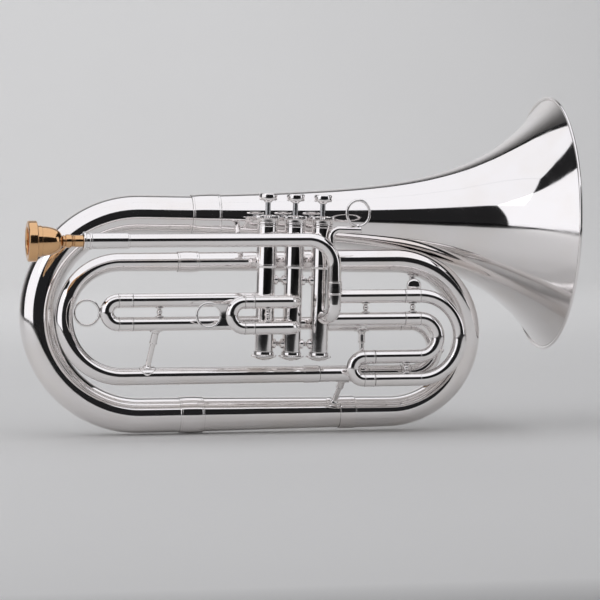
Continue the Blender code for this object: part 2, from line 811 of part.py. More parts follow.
def make_mouthpiece():
    """Rim, cup, throat and shank, turned in one piece about the leadpipe's line."""
    place = frame("mouthpiece_axis", (RECEIVER_MOUTH, -LEADPIPE_SIDE, LEADPIPE_HEIGHT), X_AXIS)
    throat = -SHANK_LENGTH
    rim = throat - CUP_LENGTH
    lip = rim + MOUTH_RIM_LENGTH
    outside = [(SHANK_END_RADIUS, SHANK_IN_RECEIVER), (SHANK_RADIUS, 0)]
    for i in range(SHANK_RINGS):
        spot = -SHANK_RING_FIRST - SHANK_RING_STEP * i
        outside += [(SHANK_RADIUS, spot + SHANK_RING_RISE)]
        outside += [(SHANK_RADIUS + SHANK_RING_RISE, spot), (SHANK_RADIUS, spot - SHANK_RING_RISE)]
    outside += [(THROAT_RADIUS, throat)]
    for i in range(1, CUP_STATIONS):
        angle = math.pi / 2 * i / CUP_STATIONS
        swell = THROAT_RADIUS + (CUP_RADIUS - THROAT_RADIUS) * math.sin(angle)
        outside.append((swell, throat + (lip - throat) * (1 - math.cos(angle))))
    outside += [
        (CUP_RADIUS, lip),
        (MOUTH_RIM_RADIUS - MOUTH_RIM_BACK, lip),
        (MOUTH_RIM_RADIUS, lip - MOUTH_RIM_BACK),
        (MOUTH_RIM_RADIUS, rim + MOUTH_RIM_EDGE),
        (MOUTH_RIM_RADIUS - MOUTH_RIM_EDGE, rim),
    ]
    inside = [(CUP_MOUTH, rim + MOUTH_RIM_BITE)]
    for i in range(1, CUP_STATIONS + 1):
        angle = math.pi / 2 * i / CUP_STATIONS
        hollow = THROAT_BORE + (CUP_MOUTH - THROAT_BORE) * math.cos(angle)
        inside.append((hollow, rim + CUP_DEPTH * math.sin(angle)))
    inside += [(SHANK_BORE, SHANK_IN_RECEIVER)]
    return turned("mouthpiece", outside + inside, GOLD, MOUTHPIECE_SIDES, place)


# Bell and bows


def bell_direction():
    return Vector((math.cos(BELL_PITCH), 0, -math.sin(BELL_PITCH)))


def bell_point(back):
    """A point of the bell's axis at a distance back from the rim."""
    return Vector((BELL_RIM_X, BELL_SIDE, BELL_RIM_HEIGHT)) - bell_direction() * back


def bell_radius(back):
    """The bell's outer radius at a distance back from its rim: a slow taper and a quick flare."""
    flare = BELL_RIM_RADIUS - BELL_TAIL_RADIUS - BELL_TAPER * BELL_LENGTH
    taper = BELL_TAPER * (BELL_LENGTH - back)
    return BELL_TAIL_RADIUS + taper + flare * math.exp(-back / BELL_FLARE_LENGTH)


def bell_wall(back):
    """The inner point of radius and height that lies one wall in from the outer skin."""
    slope = (bell_radius(back + GAP) - bell_radius(back)) / GAP
    scale = BELL_WALL / math.hypot(slope, 1)
    return bell_radius(back) - scale, -back - slope * scale


def make_bell():
    place = frame("bell_axis", bell_point(0), bell_direction())
    first = BELL_RIM_BEAD / BELL_LENGTH
    spread = [(i / BELL_STATIONS) ** BELL_SPACING_POWER for i in range(BELL_STATIONS + 1)]
    backs = [BELL_LENGTH * (first + (1 - first) * share) for share in spread]
    outside = [(bell_radius(back), -back) for back in reversed(backs)]
    rim = [
        (BELL_RIM_RADIUS, -BELL_RIM_BEAD / 2),
        (BELL_RIM_RADIUS, -BELL_RIM_ROUND),
        (BELL_RIM_RADIUS - BAND_RISE, 0),
        (BELL_RIM_RADIUS - BAND_RISE - BELL_RIM_LAND, 0),
    ]
    inside = [bell_wall(back) for back in backs]
    inside[-1] = (bell_radius(BELL_LENGTH) - BELL_WALL, -BELL_LENGTH)
    turned("bell", outside + rim + inside, SILVER, BELL_SIDES, place)
    half = BELL_FERRULE / 2
    ends = [bell_point(BELL_LENGTH + half), bell_point(BELL_LENGTH - half)]
    widest = bell_radius(BELL_LENGTH - half)
    ferrule("bell_ferrule", *ends, widest, sides=BELL_SIDES)


def make_left_bow():
    """The big bow from the bell's tail round to its ferrule on the bottom branch."""
    start = bell_point(BELL_LENGTH + GAP)
    back = (BELL_RIM_X - LEFT_BOW_X) / math.cos(BELL_PITCH)
    corners = [start, bell_point(back)]
    half = BOTTOM_FERRULE / 2
    corners += [(x, BOTTOM_SIDE, BOTTOM_HEIGHT) for x in (LEFT_BOW_X, BOTTOM_JOINT_X + half)]
    route = Route(corners, [even_bends(corners)] * 2, LARGE_STEP)
    bore = BOTTOM_RADIUS - BOW_WALL
    socket = bore_around(BOTTOM_RADIUS, LARGE_SIDES)
    collar = route.length - 2 * half
    knots = [
        (0, LEFT_BOW_RADIUS, LEFT_BOW_RADIUS - BOW_WALL),
        (collar, BOTTOM_RADIUS, bore),
        (collar, socket + FERRULE_WALL, bore),
        (route.length - half, socket + FERRULE_WALL, bore),
        (route.length - half, socket + FERRULE_WALL, socket),
        (route.length, socket + FERRULE_WALL, socket),
    ]
    tube("left_bow", route, knots, SILVER, LARGE_SIDES)


def make_bottom_branch():
    start = BOTTOM_JOINT_X + GAP
    ends = [(x, BOTTOM_SIDE, BOTTOM_HEIGHT) for x in (start, BOTTOM_END_X + SOCKET_DEPTH)]
    route = Route(ends)
    knots = [
        (0, BOTTOM_RADIUS, BOTTOM_RADIUS - BOW_WALL),
        (BOTTOM_END_X - start, BOTTOM_END_RADIUS, BOTTOM_END_RADIUS - BOW_WALL),
        (route.length, BOTTOM_END_RADIUS, BOTTOM_END_RADIUS - BOW_WALL),
    ]
    tube("bottom_branch", route, knots, SILVER, LARGE_SIDES)


def right_bow_route():
    """The right bow's line and the radius of its bends."""
    corners = [
        (BOTTOM_END_X, BOTTOM_SIDE, BOTTOM_HEIGHT),
        (RIGHT_BOW_X, BOTTOM_SIDE, BOTTOM_HEIGHT),
        (RIGHT_BOW_X, INNER_SIDE, INNER_HEIGHT),
        (RIGHT_JOINT_X, INNER_SIDE, INNER_HEIGHT),
    ]
    bend = even_bends(corners)
    return Route(corners, [bend, bend], LARGE_STEP), bend


def right_bow_knots(length):
    """The right bow's radii: a socket on the bottom branch, a taper, a socket for the inner branch."""
    socket = BOTTOM_END_RADIUS + SLIDE_FIT
    rest = SOCKET_DEPTH + GAP
    sleeve = bore_around(INNER_BRANCH_RADIUS, LARGE_SIDES)
    top = length - SPIGOT_LENGTH - GAP
    return [
        (0, socket + BOW_WALL, socket),
        (rest, socket + BOW_WALL, socket),
        (rest, RIGHT_BOW_RADIUS, RIGHT_BOW_RADIUS - BOW_WALL),
        (top, sleeve + TUBE_WALL, sleeve - TUBE_WALL),
        (top, sleeve + TUBE_WALL, sleeve),
        (length, sleeve + TUBE_WALL, sleeve),
    ]


def make_right_bow():
    """The bow, and the shape that keeps its fittings clear of it."""
    route, _ = right_bow_route()
    knots = right_bow_knots(route.length)
    tube("right_bow", route, knots, SILVER, LARGE_SIDES)
    around = [(distance, outer + GAP, outer / 2) for distance, outer, _ in knots]
    return tube("right_bow_seat", route, around, None, LARGE_SIDES)


def right_bow_spot(angle):
    """Point, heading and outer radius of the right bow at an angle up from its middle."""
    route, bend = right_bow_route()
    along = RIGHT_BOW_X - BOTTOM_END_X - bend + bend * (math.pi / 2 + angle)
    knots = right_bow_knots(route.length)
    first, second = [pair for pair in zip(knots, knots[1:]) if pair[0][0] <= along < pair[1][0]][0]
    share = (along - first[0]) / (second[0] - first[0])
    return *route.at(along), first[1] + (second[1] - first[1]) * share


def make_inner_branch():
    """The tube behind the valves, from the inner bow to its spigot in the right bow."""
    ends = [(x, INNER_SIDE, INNER_HEIGHT) for x in (INNER_JOINT_X + GAP, RIGHT_JOINT_X + SPIGOT_LENGTH)]
    route = Route(ends)
    knots = [
        (0, INNER_BOW_RADIUS, INNER_BOW_RADIUS - BOW_WALL),
        (route.length - SPIGOT_LENGTH, INNER_BRANCH_RADIUS, INNER_BRANCH_RADIUS - BOW_WALL),
        (route.length, INNER_BRANCH_RADIUS, INNER_BRANCH_RADIUS - BOW_WALL),
    ]
    tube("inner_branch", route, knots, SILVER, LARGE_SIDES)
    half = INNER_FERRULE / 2
    ends = [(INNER_JOINT_X + side * half, INNER_SIDE, INNER_HEIGHT) for side in (-1, 1)]
    ferrule("inner_ferrule", *ends, INNER_BOW_RADIUS + GAP)


def make_inner_bow():
    """The bow from the inner branch round to the long run that ends in the lower tuning sleeve."""
    joint = TUNING_SLEEVE_START - GAP
    corners = [
        (INNER_JOINT_X, INNER_SIDE, INNER_HEIGHT),
        (INNER_BOW_X, INNER_SIDE, INNER_HEIGHT),
        (INNER_BOW_X, TUNING_SIDE, TUNING_LOWER),
        (joint + SPIGOT_LENGTH, TUNING_SIDE, TUNING_LOWER),
    ]
    route = Route(corners, [even_bends(corners)] * 2, LARGE_STEP)
    spigot = spigot_within(TUNING_RADIUS - TUBE_WALL, SMALL_SIDES)
    meet = route.length - SPIGOT_LENGTH
    knots = [
        (0, INNER_BOW_RADIUS, INNER_BOW_RADIUS - BOW_WALL),
        (meet, TUNING_RADIUS, spigot - TUBE_WALL),
        (meet, spigot, spigot - TUBE_WALL),
        (route.length, spigot, spigot - TUBE_WALL),
    ]
    tube("inner_bow", route, knots, SILVER, LARGE_SIDES)


# Slides


def valve_sleeve(name, casing, clearance, corners, bends, radius):
    """A fixed tube from a valve's axis outwards, fitted round the casing and let into it by a port."""
    route = Route(corners, bends)
    knots = [(0, radius, radius - TUBE_WALL), (route.length, radius, radius - TUBE_WALL)]
    sleeve = tube(name, route, knots, SILVER)
    combine(sleeve, "DIFFERENCE", clearance)
    heading = (Vector(corners[1]) - Vector(corners[0])).normalized()
    ends = [corners[0], Vector(corners[0]) + heading * VALVE_SPACING / 2]
    combine(casing, "DIFFERENCE", rod(name + "_port", ends, PORT_RADIUS))
    return sleeve


def slide_end(radius, leg, shoulder):
    """The knots of one end of a slide: the leg that runs in the sleeve, a ferrule, then full size."""
    inner = radius - TUBE_WALL - SLIDE_FIT
    band = radius + BAND_RISE
    return [
        (0, inner, inner - TUBE_WALL),
        (leg + GAP, inner, inner - TUBE_WALL),
        (leg + GAP, band, inner - TUBE_WALL),
        (leg + shoulder, band, inner - TUBE_WALL),
        (leg + shoulder, radius, inner - TUBE_WALL),
    ]


def slide_corners(pull, start, far, end, upper, lower):
    """The corners of a U: out along one height, across, and back along another."""
    spots = ((start, upper), (far, upper), (far, lower), (end, lower))
    return [(pull * x, 0, z) for x, z in spots]


def make_slide(name, place, pull, gauge, radius, sleeve, bend, leg):
    """A U-shaped slide: two legs that run in sleeves, a ferrule on each and the crook."""
    half = gauge / 2
    corners = slide_corners(pull, sleeve - leg, bend + half, sleeve - leg, half, -half)
    route = Route(corners, [half, half])
    first = slide_end(radius, leg, bend - sleeve)
    second = [(route.length - distance, outer, bore) for distance, outer, bore in reversed(first)]
    return tube(name, route, first + second, SILVER, parent=place)


def make_tuning_slide(casings, clearances):
    start = valve_point(FIRST_VALVE, TUNING_UPPER)
    turn = start + Y_AXIS * TUNING_SIDE
    corners = [start, turn, (TUNING_SLEEVE_END, TUNING_SIDE, turn.z)]
    route = Route(corners, [TUNING_EXIT_BEND])
    wide = route.length - (TUNING_SLEEVE_END - TUNING_SLEEVE_START)
    knots = [
        (0, TUNING_EXIT_RADIUS, TUNING_EXIT_RADIUS - TUBE_WALL),
        (wide - SPIGOT_LENGTH, TUNING_EXIT_RADIUS, TUNING_EXIT_RADIUS - TUBE_WALL),
        (wide, TUNING_RADIUS, TUNING_RADIUS - TUBE_WALL),
        (route.length, TUNING_RADIUS, TUNING_RADIUS - TUBE_WALL),
    ]
    upper = tube("tuning_sleeve_upper", route, knots, SILVER)
    combine(upper, "DIFFERENCE", clearances[FIRST_VALVE])
    combine(casings[FIRST_VALVE], "DIFFERENCE", rod("tuning_port", [start, turn], PORT_RADIUS))
    ends = [(x, TUNING_SIDE, TUNING_LOWER) for x in (TUNING_SLEEVE_START, TUNING_SLEEVE_END)]
    route = Route(ends)
    knots = [(spot, TUNING_RADIUS, TUNING_RADIUS - TUBE_WALL) for spot in (0, route.length)]
    tube("tuning_sleeve_lower", route, knots, SILVER)
    middle = (TUNING_UPPER + TUNING_LOWER) / 2
    place = frame("tuning_slide_axis", (0, TUNING_SIDE, middle))
    sizes = (TUNING_GAUGE, TUNING_RADIUS, TUNING_SLEEVE_END, TUNING_BEND_X, TUNING_LEG)
    make_slide("tuning_slide", place, 1, *sizes)
    ends = [(TUNING_BRACE_X, TUNING_SIDE, z) for z in (TUNING_UPPER, TUNING_LOWER)]
    post("tuning_brace", ends[0], TUNING_RADIUS, ends[1], TUNING_RADIUS)


def make_first_slide(casings, clearances):
    centre = valve_point(FIRST_VALVE, FIRST_HEIGHT)
    half = FIRST_GAUGE / 2
    for side, label in ((1, "upper"), (-1, "lower")):
        start = centre + Z_AXIS * side * half
        corners = [start, start - X_AXIS * FIRST_SLEEVE_REACH]
        valve = (casings[FIRST_VALVE], clearances[FIRST_VALVE])
        valve_sleeve(f"first_sleeve_{label}", *valve, corners, (), FIRST_RADIUS)
    place = frame("first_slide_axis", centre)
    spacer("first_brace", place, -FIRST_BRACE_REACH, half, -half, FIRST_RADIUS)
    sizes = (FIRST_GAUGE, FIRST_RADIUS, FIRST_SLEEVE_REACH, FIRST_BEND_REACH, FIRST_LEG)
    slide = make_slide("first_slide", place, -1, *sizes)
    reach = FIRST_BEND_REACH + half + FIRST_RADIUS - RING_SINK + FIRST_RING_RADIUS
    ring_place = frame("first_ring_axis", (-reach, 0, 0), Y_AXIS, place)
    combine(slide, "UNION", hoop("first_ring", FIRST_RING_RADIUS, None, ring_place))


def make_second_slide(casings, clearances):
    centre = valve_point(MIDDLE_VALVE, SECOND_HEIGHT)
    half = SECOND_GAUGE / 2
    casing, clearance = casings[MIDDLE_VALVE], clearances[MIDDLE_VALVE]
    for side, label in ((1, "upper"), (-1, "lower")):
        start = centre + Z_AXIS * side * half
        turn = start - Y_AXIS * SECOND_SIDE
        corners = [start, turn, turn - X_AXIS * SECOND_SLEEVE_REACH]
        valve_sleeve(f"second_sleeve_{label}", casing, clearance, corners, [SECOND_ELBOW], SECOND_RADIUS)
    place = frame("second_slide_axis", centre - Y_AXIS * SECOND_SIDE)
    sizes = (SECOND_GAUGE, SECOND_RADIUS, SECOND_SLEEVE_REACH, SECOND_BEND_REACH, SECOND_LEG)
    slide = make_slide("second_slide", place, -1, *sizes)
    add_second_ring(slide, place, half + SECOND_RADIUS)


def add_second_ring(slide, place, crook):
    """The pull ring with the waisted web that joins it to the crook."""
    middle = SECOND_BEND_REACH + crook + SECOND_RING_SPACE + SECOND_RING_RADIUS
    ring_place = frame("second_ring_axis", (-middle, 0, 0), Y_AXIS, place)
    near, far = crook - RING_SINK, SECOND_RING_RADIUS - RING_WIRE / 2
    edge = []
    for centre, radius, facing in ((SECOND_BEND_REACH, near, 1), (middle, far, -1)):
        spread = math.asin(SECOND_WEB_HEIGHT / radius)
        for i in range(SECOND_WEB_STEPS + 1):
            angle = facing * spread * (2 * i / SECOND_WEB_STEPS - 1)
            edge.append((-centre - facing * radius * math.cos(angle), radius * math.sin(angle)))
    bm = bmesh.new()
    loops = []
    for y in (-SECOND_WEB_THICKNESS / 2, SECOND_WEB_THICKNESS / 2):
        loops.append([bm.verts.new((x, y, z)) for x, z in edge])
    for loop in loops:
        bm.faces.new(loop)
    skin(bm, loops, closed=False)
    web = add_object("second_web", bm, None, place)
    combine(slide, "UNION", web, hoop("second_ring", SECOND_RING_RADIUS, None, ring_place))


def make_third_bow(name, place, bend):
    """One bow of the third slide: a leg in its sleeve, the bend, and a run back to the return bow."""
    start = THIRD_SLEEVE_REACH - THIRD_LEG
    far = THIRD_BEND_REACH + bend
    route = Route(slide_corners(1, start, far, THIRD_JOINT_REACH + GAP, bend, -bend), [bend, bend])
    shoulder = THIRD_BEND_REACH - THIRD_SLEEVE_REACH
    knots = slide_end(THIRD_RADIUS, THIRD_LEG, shoulder)
    knots += [(THIRD_LEG + shoulder, THIRD_RADIUS, THIRD_RADIUS - TUBE_WALL)]
    knots += [(route.length, THIRD_RADIUS, THIRD_RADIUS - TUBE_WALL)]
    return tube(name, route, knots, SILVER, parent=place)


def make_third_slide(casings, clearances, inlet):
    """Two sleeves out of valve 3 and the loop of three bows that slides on them."""
    centre = valve_point(THIRD_VALVE, THIRD_HEIGHT)
    bends = {"outer": THIRD_OUTER_BEND, "inner": THIRD_INNER_BEND}
    place = frame("third_slide_axis", centre)
    for label, bend in bends.items():
        start = centre + Z_AXIS * bend
        corners = [start, start + X_AXIS * THIRD_SLEEVE_REACH]
        valve = (casings[THIRD_VALVE], clearances[THIRD_VALVE])
        sleeve = valve_sleeve(f"third_sleeve_{label}", *valve, corners, (), THIRD_RADIUS)
        combine(sleeve, "DIFFERENCE", inlet)
        make_third_bow(f"third_bow_{label}", place, bend)
    middle = -(THIRD_OUTER_BEND + THIRD_INNER_BEND) / 2
    gauge = THIRD_OUTER_BEND - THIRD_INNER_BEND
    back = frame("third_return_axis", (0, 0, middle), Z_AXIS, place)
    sizes = (gauge, THIRD_RADIUS, -THIRD_JOINT_REACH, -THIRD_RETURN_REACH, SPIGOT_LENGTH)
    make_slide("third_return_bow", back, -1, *sizes)
    upper, lower = THIRD_OUTER_BEND, THIRD_INNER_BEND
    spacer("third_sleeve_brace", place, THIRD_SLEEVE_BRACE, upper, lower, THIRD_RADIUS)
    spacer("third_bow_brace", place, THIRD_BOW_BRACE, upper, lower, THIRD_RADIUS + BAND_RISE)
    spacer("third_return_brace", place, THIRD_RETURN_BRACE, -lower, -upper, THIRD_RADIUS)


# Fittings


def make_finger_ring(place):
    """A bent rod beside the third casing, with a ring standing on its end."""
    away = CASING_HEAD_RADIUS + GAP + FINGER_ROD_RADIUS
    x, y = away * math.cos(FINGER_ROD_ANGLE), away * math.sin(FINGER_ROD_ANGLE)
    tip = FINGER_ROD_REACH + FINGER_ROD_RADIUS
    corners = [(x, y, FINGER_ROD_FOOT), (x, y, FINGER_ROD_TOP), (tip, y, FINGER_ROD_TOP)]
    bent = rod("finger_ring", corners, FINGER_ROD_RADIUS, SILVER, [FINGER_ROD_BEND], POST_SIDES, place)
    height = FINGER_ROD_TOP + FINGER_ROD_RADIUS - FINGER_RING_SINK + FINGER_RING_RADIUS
    facing = Vector((math.sin(FINGER_RING_TURN), math.cos(FINGER_RING_TURN), 0))
    ring_place = frame("finger_ring_axis", (FINGER_ROD_REACH, y, height), facing, place)
    combine(bent, "UNION", hoop("finger_hoop", FINGER_RING_RADIUS, None, ring_place))


def make_stays():
    """The long stays: first slide to inner bow, inner bow to bottom branch, leadpipe to bell."""
    valve = valve_point(FIRST_VALVE, FIRST_HEIGHT)
    stay_x = valve.x - FIRST_SLEEVE_REACH + FIRST_STAY_INSET
    start = (stay_x, 0, valve.z - FIRST_GAUGE / 2)
    foot = (stay_x - FIRST_STAY_LEAN, TUNING_SIDE, TUNING_LOWER)
    post("first_stay", start, FIRST_RADIUS, foot, INNER_BOW_RADIUS)
    start = (BOTTOM_STAY_X, TUNING_SIDE, TUNING_LOWER)
    foot = (BOTTOM_STAY_X - BOTTOM_STAY_LEAN, BOTTOM_SIDE, BOTTOM_HEIGHT)
    post("bottom_stay", start, TUNING_RADIUS, foot, BOTTOM_RADIUS)
    make_leadpipe_stay()


def make_leadpipe_stay():
    """A bent rod that runs straight back from the leadpipe and turns up to the bell's underside."""
    back = (BELL_RIM_X - LEADPIPE_STAY_X - POST_RADIUS) / math.cos(BELL_PITCH)
    pipe = Vector((LEADPIPE_STAY_X, -LEADPIPE_SIDE, LEADPIPE_HEIGHT))
    bell = Vector((LEADPIPE_STAY_X, BELL_SIDE, bell_point(back).z))
    start = pipe - Z_AXIS * LEADPIPE_STAY_DROP
    corners = [start, Vector((bell.x, bell.y, start.z)), bell]
    stay = rod("leadpipe_stay", corners, POST_RADIUS, SILVER, [LEADPIPE_STAY_BEND], POST_SIDES)
    seat_on_tubes(stay, (pipe, LEADPIPE_RADIUS), (bell, bell_radius(back) + GAP))


def make_water_key(seat):
    """A sprung lever on the inside of the right bow, with its nipple, saddle, pin and cork."""
    point, heading, tube_radius = right_bow_spot(KEY_ANGLE)
    _, bend = right_bow_route()
    sides = (INNER_SIDE + BOTTOM_SIDE, INNER_HEIGHT + BOTTOM_HEIGHT)
    inward = (Vector((RIGHT_BOW_X - bend, sides[0] / 2, sides[1] / 2)) - point).normalized()
    pivot = point + inward * (tube_radius + KEY_PIVOT_HEIGHT)
    place = frame("water_key_axis", pivot, inward, guide=inward.cross(heading))
    floor = -KEY_PIVOT_HEIGHT - SEAT_SINK
    bore = [(0, side * KEY_PADDLE_WIDTH, 0) for side in (-1, 1)]
    hole = rod("key_pin_hole", bore, KEY_PIN_RADIUS + GAP, sides=POST_SIDES, parent=place)

    cup_place = frame("key_cup_axis", (-KEY_CUP_REACH, 0, 0), parent=place)
    outline = [
        (KEY_NIPPLE_BORE, floor),
        (KEY_NIPPLE_RADIUS, floor),
        (KEY_NIPPLE_RADIUS, -KEY_SEAT_DROP),
        (KEY_NIPPLE_BORE, -KEY_SEAT_DROP),
    ]
    nipple = turned("water_key_nipple", outline, SILVER, SMALL_SIDES, cup_place)
    combine(nipple, "DIFFERENCE", seat)

    inner = KEY_WIDTH / 2 + GAP
    outer = inner + KEY_EAR
    half = KEY_EAR_WIDTH / 2
    saddle = block("water_key_saddle", (-half, -outer, floor), (half, outer, half), SILVER, place)
    slot_floor = KEY_BASE - KEY_PIVOT_HEIGHT
    slot = block("key_slot", (-outer, -inner, slot_floor), (outer, inner, outer), None, place)
    combine(saddle, "DIFFERENCE", slot, hole, seat)

    reach = outer + KEY_PIN_END
    ends = [(0, -reach, 0), (0, reach, 0)]
    rod("water_key_pin", ends, KEY_PIN_RADIUS, STEEL, sides=POST_SIDES, parent=place)
    make_key_lever(place, cup_place, hole)


def make_key_lever(place, cup_place, hole):
    """The lever's hub, beam, cup and paddle in one piece, and the cork in its cup."""
    cork_base = -KEY_SEAT_DROP + GAP
    cork_top = cork_base + KEY_CORK_HEIGHT
    cup_base = cork_base + KEY_CORK_SHOWS
    cup_top = cork_top + KEY_CUP_CROWN
    ends = [(0, -KEY_WIDTH / 2, 0), (0, KEY_WIDTH / 2, 0)]
    lever = rod("water_key_lever", ends, KEY_HUB_RADIUS, SILVER, parent=place)
    line = [(-KEY_CUP_REACH, 0, cup_top), (0, 0, KEY_BEAM), (KEY_PADDLE_REACH, 0, KEY_PADDLE_RISE)]
    beam = rod("key_beam", line, KEY_BEAM, None, [KEY_PADDLE_REACH], POST_SIDES, place)
    outline = [
        (0, cork_top + GAP),
        (KEY_CORK_RADIUS + GAP, cork_top + GAP),
        (KEY_CORK_RADIUS + GAP, cup_base),
        (KEY_CUP_RADIUS, cup_base),
        (KEY_CUP_RADIUS, cork_top),
        (0, cup_top),
    ]
    cup = turned("key_cup", outline, None, SMALL_SIDES, cup_place)
    paddle_place = frame("key_paddle_axis", (KEY_PADDLE_REACH, 0, KEY_PADDLE_RISE), parent=place)
    half = KEY_BEAM / 2
    outline = [(0, -half), (KEY_PADDLE_WIDTH / 2, -half), (KEY_PADDLE_WIDTH / 2, half), (0, half)]
    paddle = turned("key_paddle", outline, None, SMALL_SIDES, paddle_place)
    combine(lever, "UNION", beam, cup, paddle)
    combine(lever, "DIFFERENCE", hole)
    outline = [(0, cork_base), (KEY_CORK_RADIUS, cork_base), (KEY_CORK_RADIUS, cork_top), (0, cork_top)]
    turned("water_key_cork", outline, CORK, SMALL_SIDES, cup_place)


def make_lyre_socket(seat):
    """A socket for a music holder under the right bow, and the thumb screw that closes it."""
    point, _, tube_radius = right_bow_spot(LYRE_ANGLE)
    place = frame("lyre_screw_axis", point - Z_AXIS * (tube_radius + LYRE_DROP), -Y_AXIS)
    half = LYRE_BLOCK / 2
    depth = LYRE_BLOCK_DEPTH / 2
    socket = block("lyre_socket", (-half, -half, -depth), (half, half, depth), SILVER, place)
    neck = rod("lyre_neck", [(0, 0, 0), (0, LYRE_DROP + SEAT_SINK, 0)], LYRE_NECK_RADIUS, parent=place)
    combine(socket, "UNION", neck)
    slot = LYRE_SLOT / 2
    opening = block("lyre_slot", (-LYRE_BLOCK, -slot, -slot), (LYRE_BLOCK, slot, slot), None, place)
    hole = rod("lyre_hole", [(0, 0, 0), (0, 0, LYRE_BLOCK_DEPTH)], LYRE_SHANK_RADIUS + GAP, parent=place)
    combine(socket, "DIFFERENCE", seat, opening, hole)
    front = depth + GAP
    outline = [
        (0, slot),
        (LYRE_SHANK_RADIUS, slot),
        (LYRE_SHANK_RADIUS, front),
        (LYRE_SCREW_RADIUS, front),
        (LYRE_SCREW_RADIUS, front + LYRE_SCREW_HEAD),
        (LYRE_SCREW_RADIUS - LYRE_SCREW_DOME, front + LYRE_SCREW_HEAD + LYRE_SCREW_DOME),
        (0, front + LYRE_SCREW_HEAD + LYRE_SCREW_DOME),
    ]
    turned("lyre_screw", outline, SILVER, LARGE_SIDES, place)


def main():
    for old in list(bpy.data.objects):
        bpy.data.objects.remove(old)
    places, casings, clearances = make_valves()
    inlet = make_leadpipe(casings, clearances)
    make_mouthpiece()
    make_bell()
    make_left_bow()
    make_bottom_branch()
    seat = make_right_bow()
    make_inner_branch()
    make_inner_bow()
    make_tuning_slide(casings, clearances)
    make_first_slide(casings, clearances)
    make_second_slide(casings, clearances)
    make_third_slide(casings, clearances, inlet)
    make_finger_ring(places[THIRD_VALVE])
    make_stays()
    make_water_key(seat)
    make_lyre_socket(seat)


main()
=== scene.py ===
"""Dressed marching baritone: smooth plated tubes, bell, valves, slides and fittings in a plain studio.

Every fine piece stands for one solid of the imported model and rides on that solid's body. Lengths are
metres, and profiles are tables of millimetres. +X is towards the bell mouth, +Y to the player's left
and +Z up.
"""

import json
import logging
import math
from collections.abc import Sequence
from dataclasses import dataclass, field
from enum import Enum, IntEnum
from typing import Any

import bpy
from mathutils import Matrix, Vector

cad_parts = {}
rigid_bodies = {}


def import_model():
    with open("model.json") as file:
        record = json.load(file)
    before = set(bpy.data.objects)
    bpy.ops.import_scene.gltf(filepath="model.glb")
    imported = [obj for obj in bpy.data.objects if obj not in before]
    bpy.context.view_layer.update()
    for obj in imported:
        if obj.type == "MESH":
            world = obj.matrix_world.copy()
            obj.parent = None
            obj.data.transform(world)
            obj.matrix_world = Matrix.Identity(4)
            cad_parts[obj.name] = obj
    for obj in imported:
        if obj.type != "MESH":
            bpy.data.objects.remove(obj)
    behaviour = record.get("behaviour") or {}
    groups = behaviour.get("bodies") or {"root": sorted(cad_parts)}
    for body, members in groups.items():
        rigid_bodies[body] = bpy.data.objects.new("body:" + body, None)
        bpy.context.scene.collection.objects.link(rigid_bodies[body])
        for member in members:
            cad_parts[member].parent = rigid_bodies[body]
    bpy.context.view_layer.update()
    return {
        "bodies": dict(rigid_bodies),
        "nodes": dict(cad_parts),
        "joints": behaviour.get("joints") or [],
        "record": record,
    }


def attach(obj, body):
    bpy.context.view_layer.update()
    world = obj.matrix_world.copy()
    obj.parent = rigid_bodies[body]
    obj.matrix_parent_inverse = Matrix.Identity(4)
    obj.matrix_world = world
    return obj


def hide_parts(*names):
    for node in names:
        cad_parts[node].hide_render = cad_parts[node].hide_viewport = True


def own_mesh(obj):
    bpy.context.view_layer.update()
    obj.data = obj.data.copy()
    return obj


LOG = logging.getLogger("baritone")
MM = 0.001
X_AXIS = Vector((1, 0, 0))
Y_AXIS = Vector((0, 1, 0))
Z_AXIS = Vector((0, 0, 1))
MERGE = 1e-6  # nearer points are one point
SMOOTH = math.radians(38)  # flatter edges are shaded smooth
SHARP = math.radians(40)  # sharper edges are rounded
ROUND_STEPS = 3  # segments of a rounding
EDGE = 0.00022  # how far a fine rounding reaches from its corner
SOFT_EDGE = 0.0004
LEAF_EDGE = 0.0005
EDGE_SHARE = 0.3  # the most of a run that a rounding takes
HOLD = 0.0004  # how far from its corner a long run is held straight
HOLD_RUN = 0.003
HOLD_TURN = math.radians(1)
BEND_STEP = math.radians(5)
BOW_STEP = math.radians(3)
HELIX_STEPS = 24  # points in each turn of a spring
KNURL_REACH = 0.0003  # how far under a band's top a knurl takes hold
SLACK = 0.0001
HOME = Matrix()

Piece = bpy.types.Object
Spots = Sequence[Sequence[float]]
Outline = list[tuple[float, float]]
Profile = tuple[tuple[float, float], ...]
Knot = tuple[float, float, float]
Colour = tuple[float, float, float, float]


class Body(Enum):
    """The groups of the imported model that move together."""

    HORN = "horn"
    VALVE_1 = "valve_1"
    VALVE_2 = "valve_2"
    VALVE_3 = "valve_3"
    FIRST_SLIDE = "first_slide"
    SECOND_SLIDE = "second_slide"
    THIRD_SLIDE = "third_slide"
    TUNING_SLIDE = "tuning_slide"
    MOUTHPIECE = "mouthpiece"
    WATER_KEY = "water_key"
    LYRE_SCREW = "lyre_screw"


class Slot(Enum):
    """The record's material slots."""

    SILVER = "silver"
    GOLD = "gold"
    STEEL = "steel"
    CORK = "cork"


class Cut(Enum):
    """What a tool does to the piece it meets."""

    REMOVE = "DIFFERENCE"
    KEEP = "INTERSECT"


class Sides(IntEnum):
    """Steps round a piece."""

    HAIR = 10
    SPRING = 12
    HOOP = 20
    SMALL = 24
    PIN = 32
    CUP = 40
    FINE = 48
    BRANCH = 64
    WIDE = 72
    BOW = 80
    KNURLED = 96
    BELL = 160


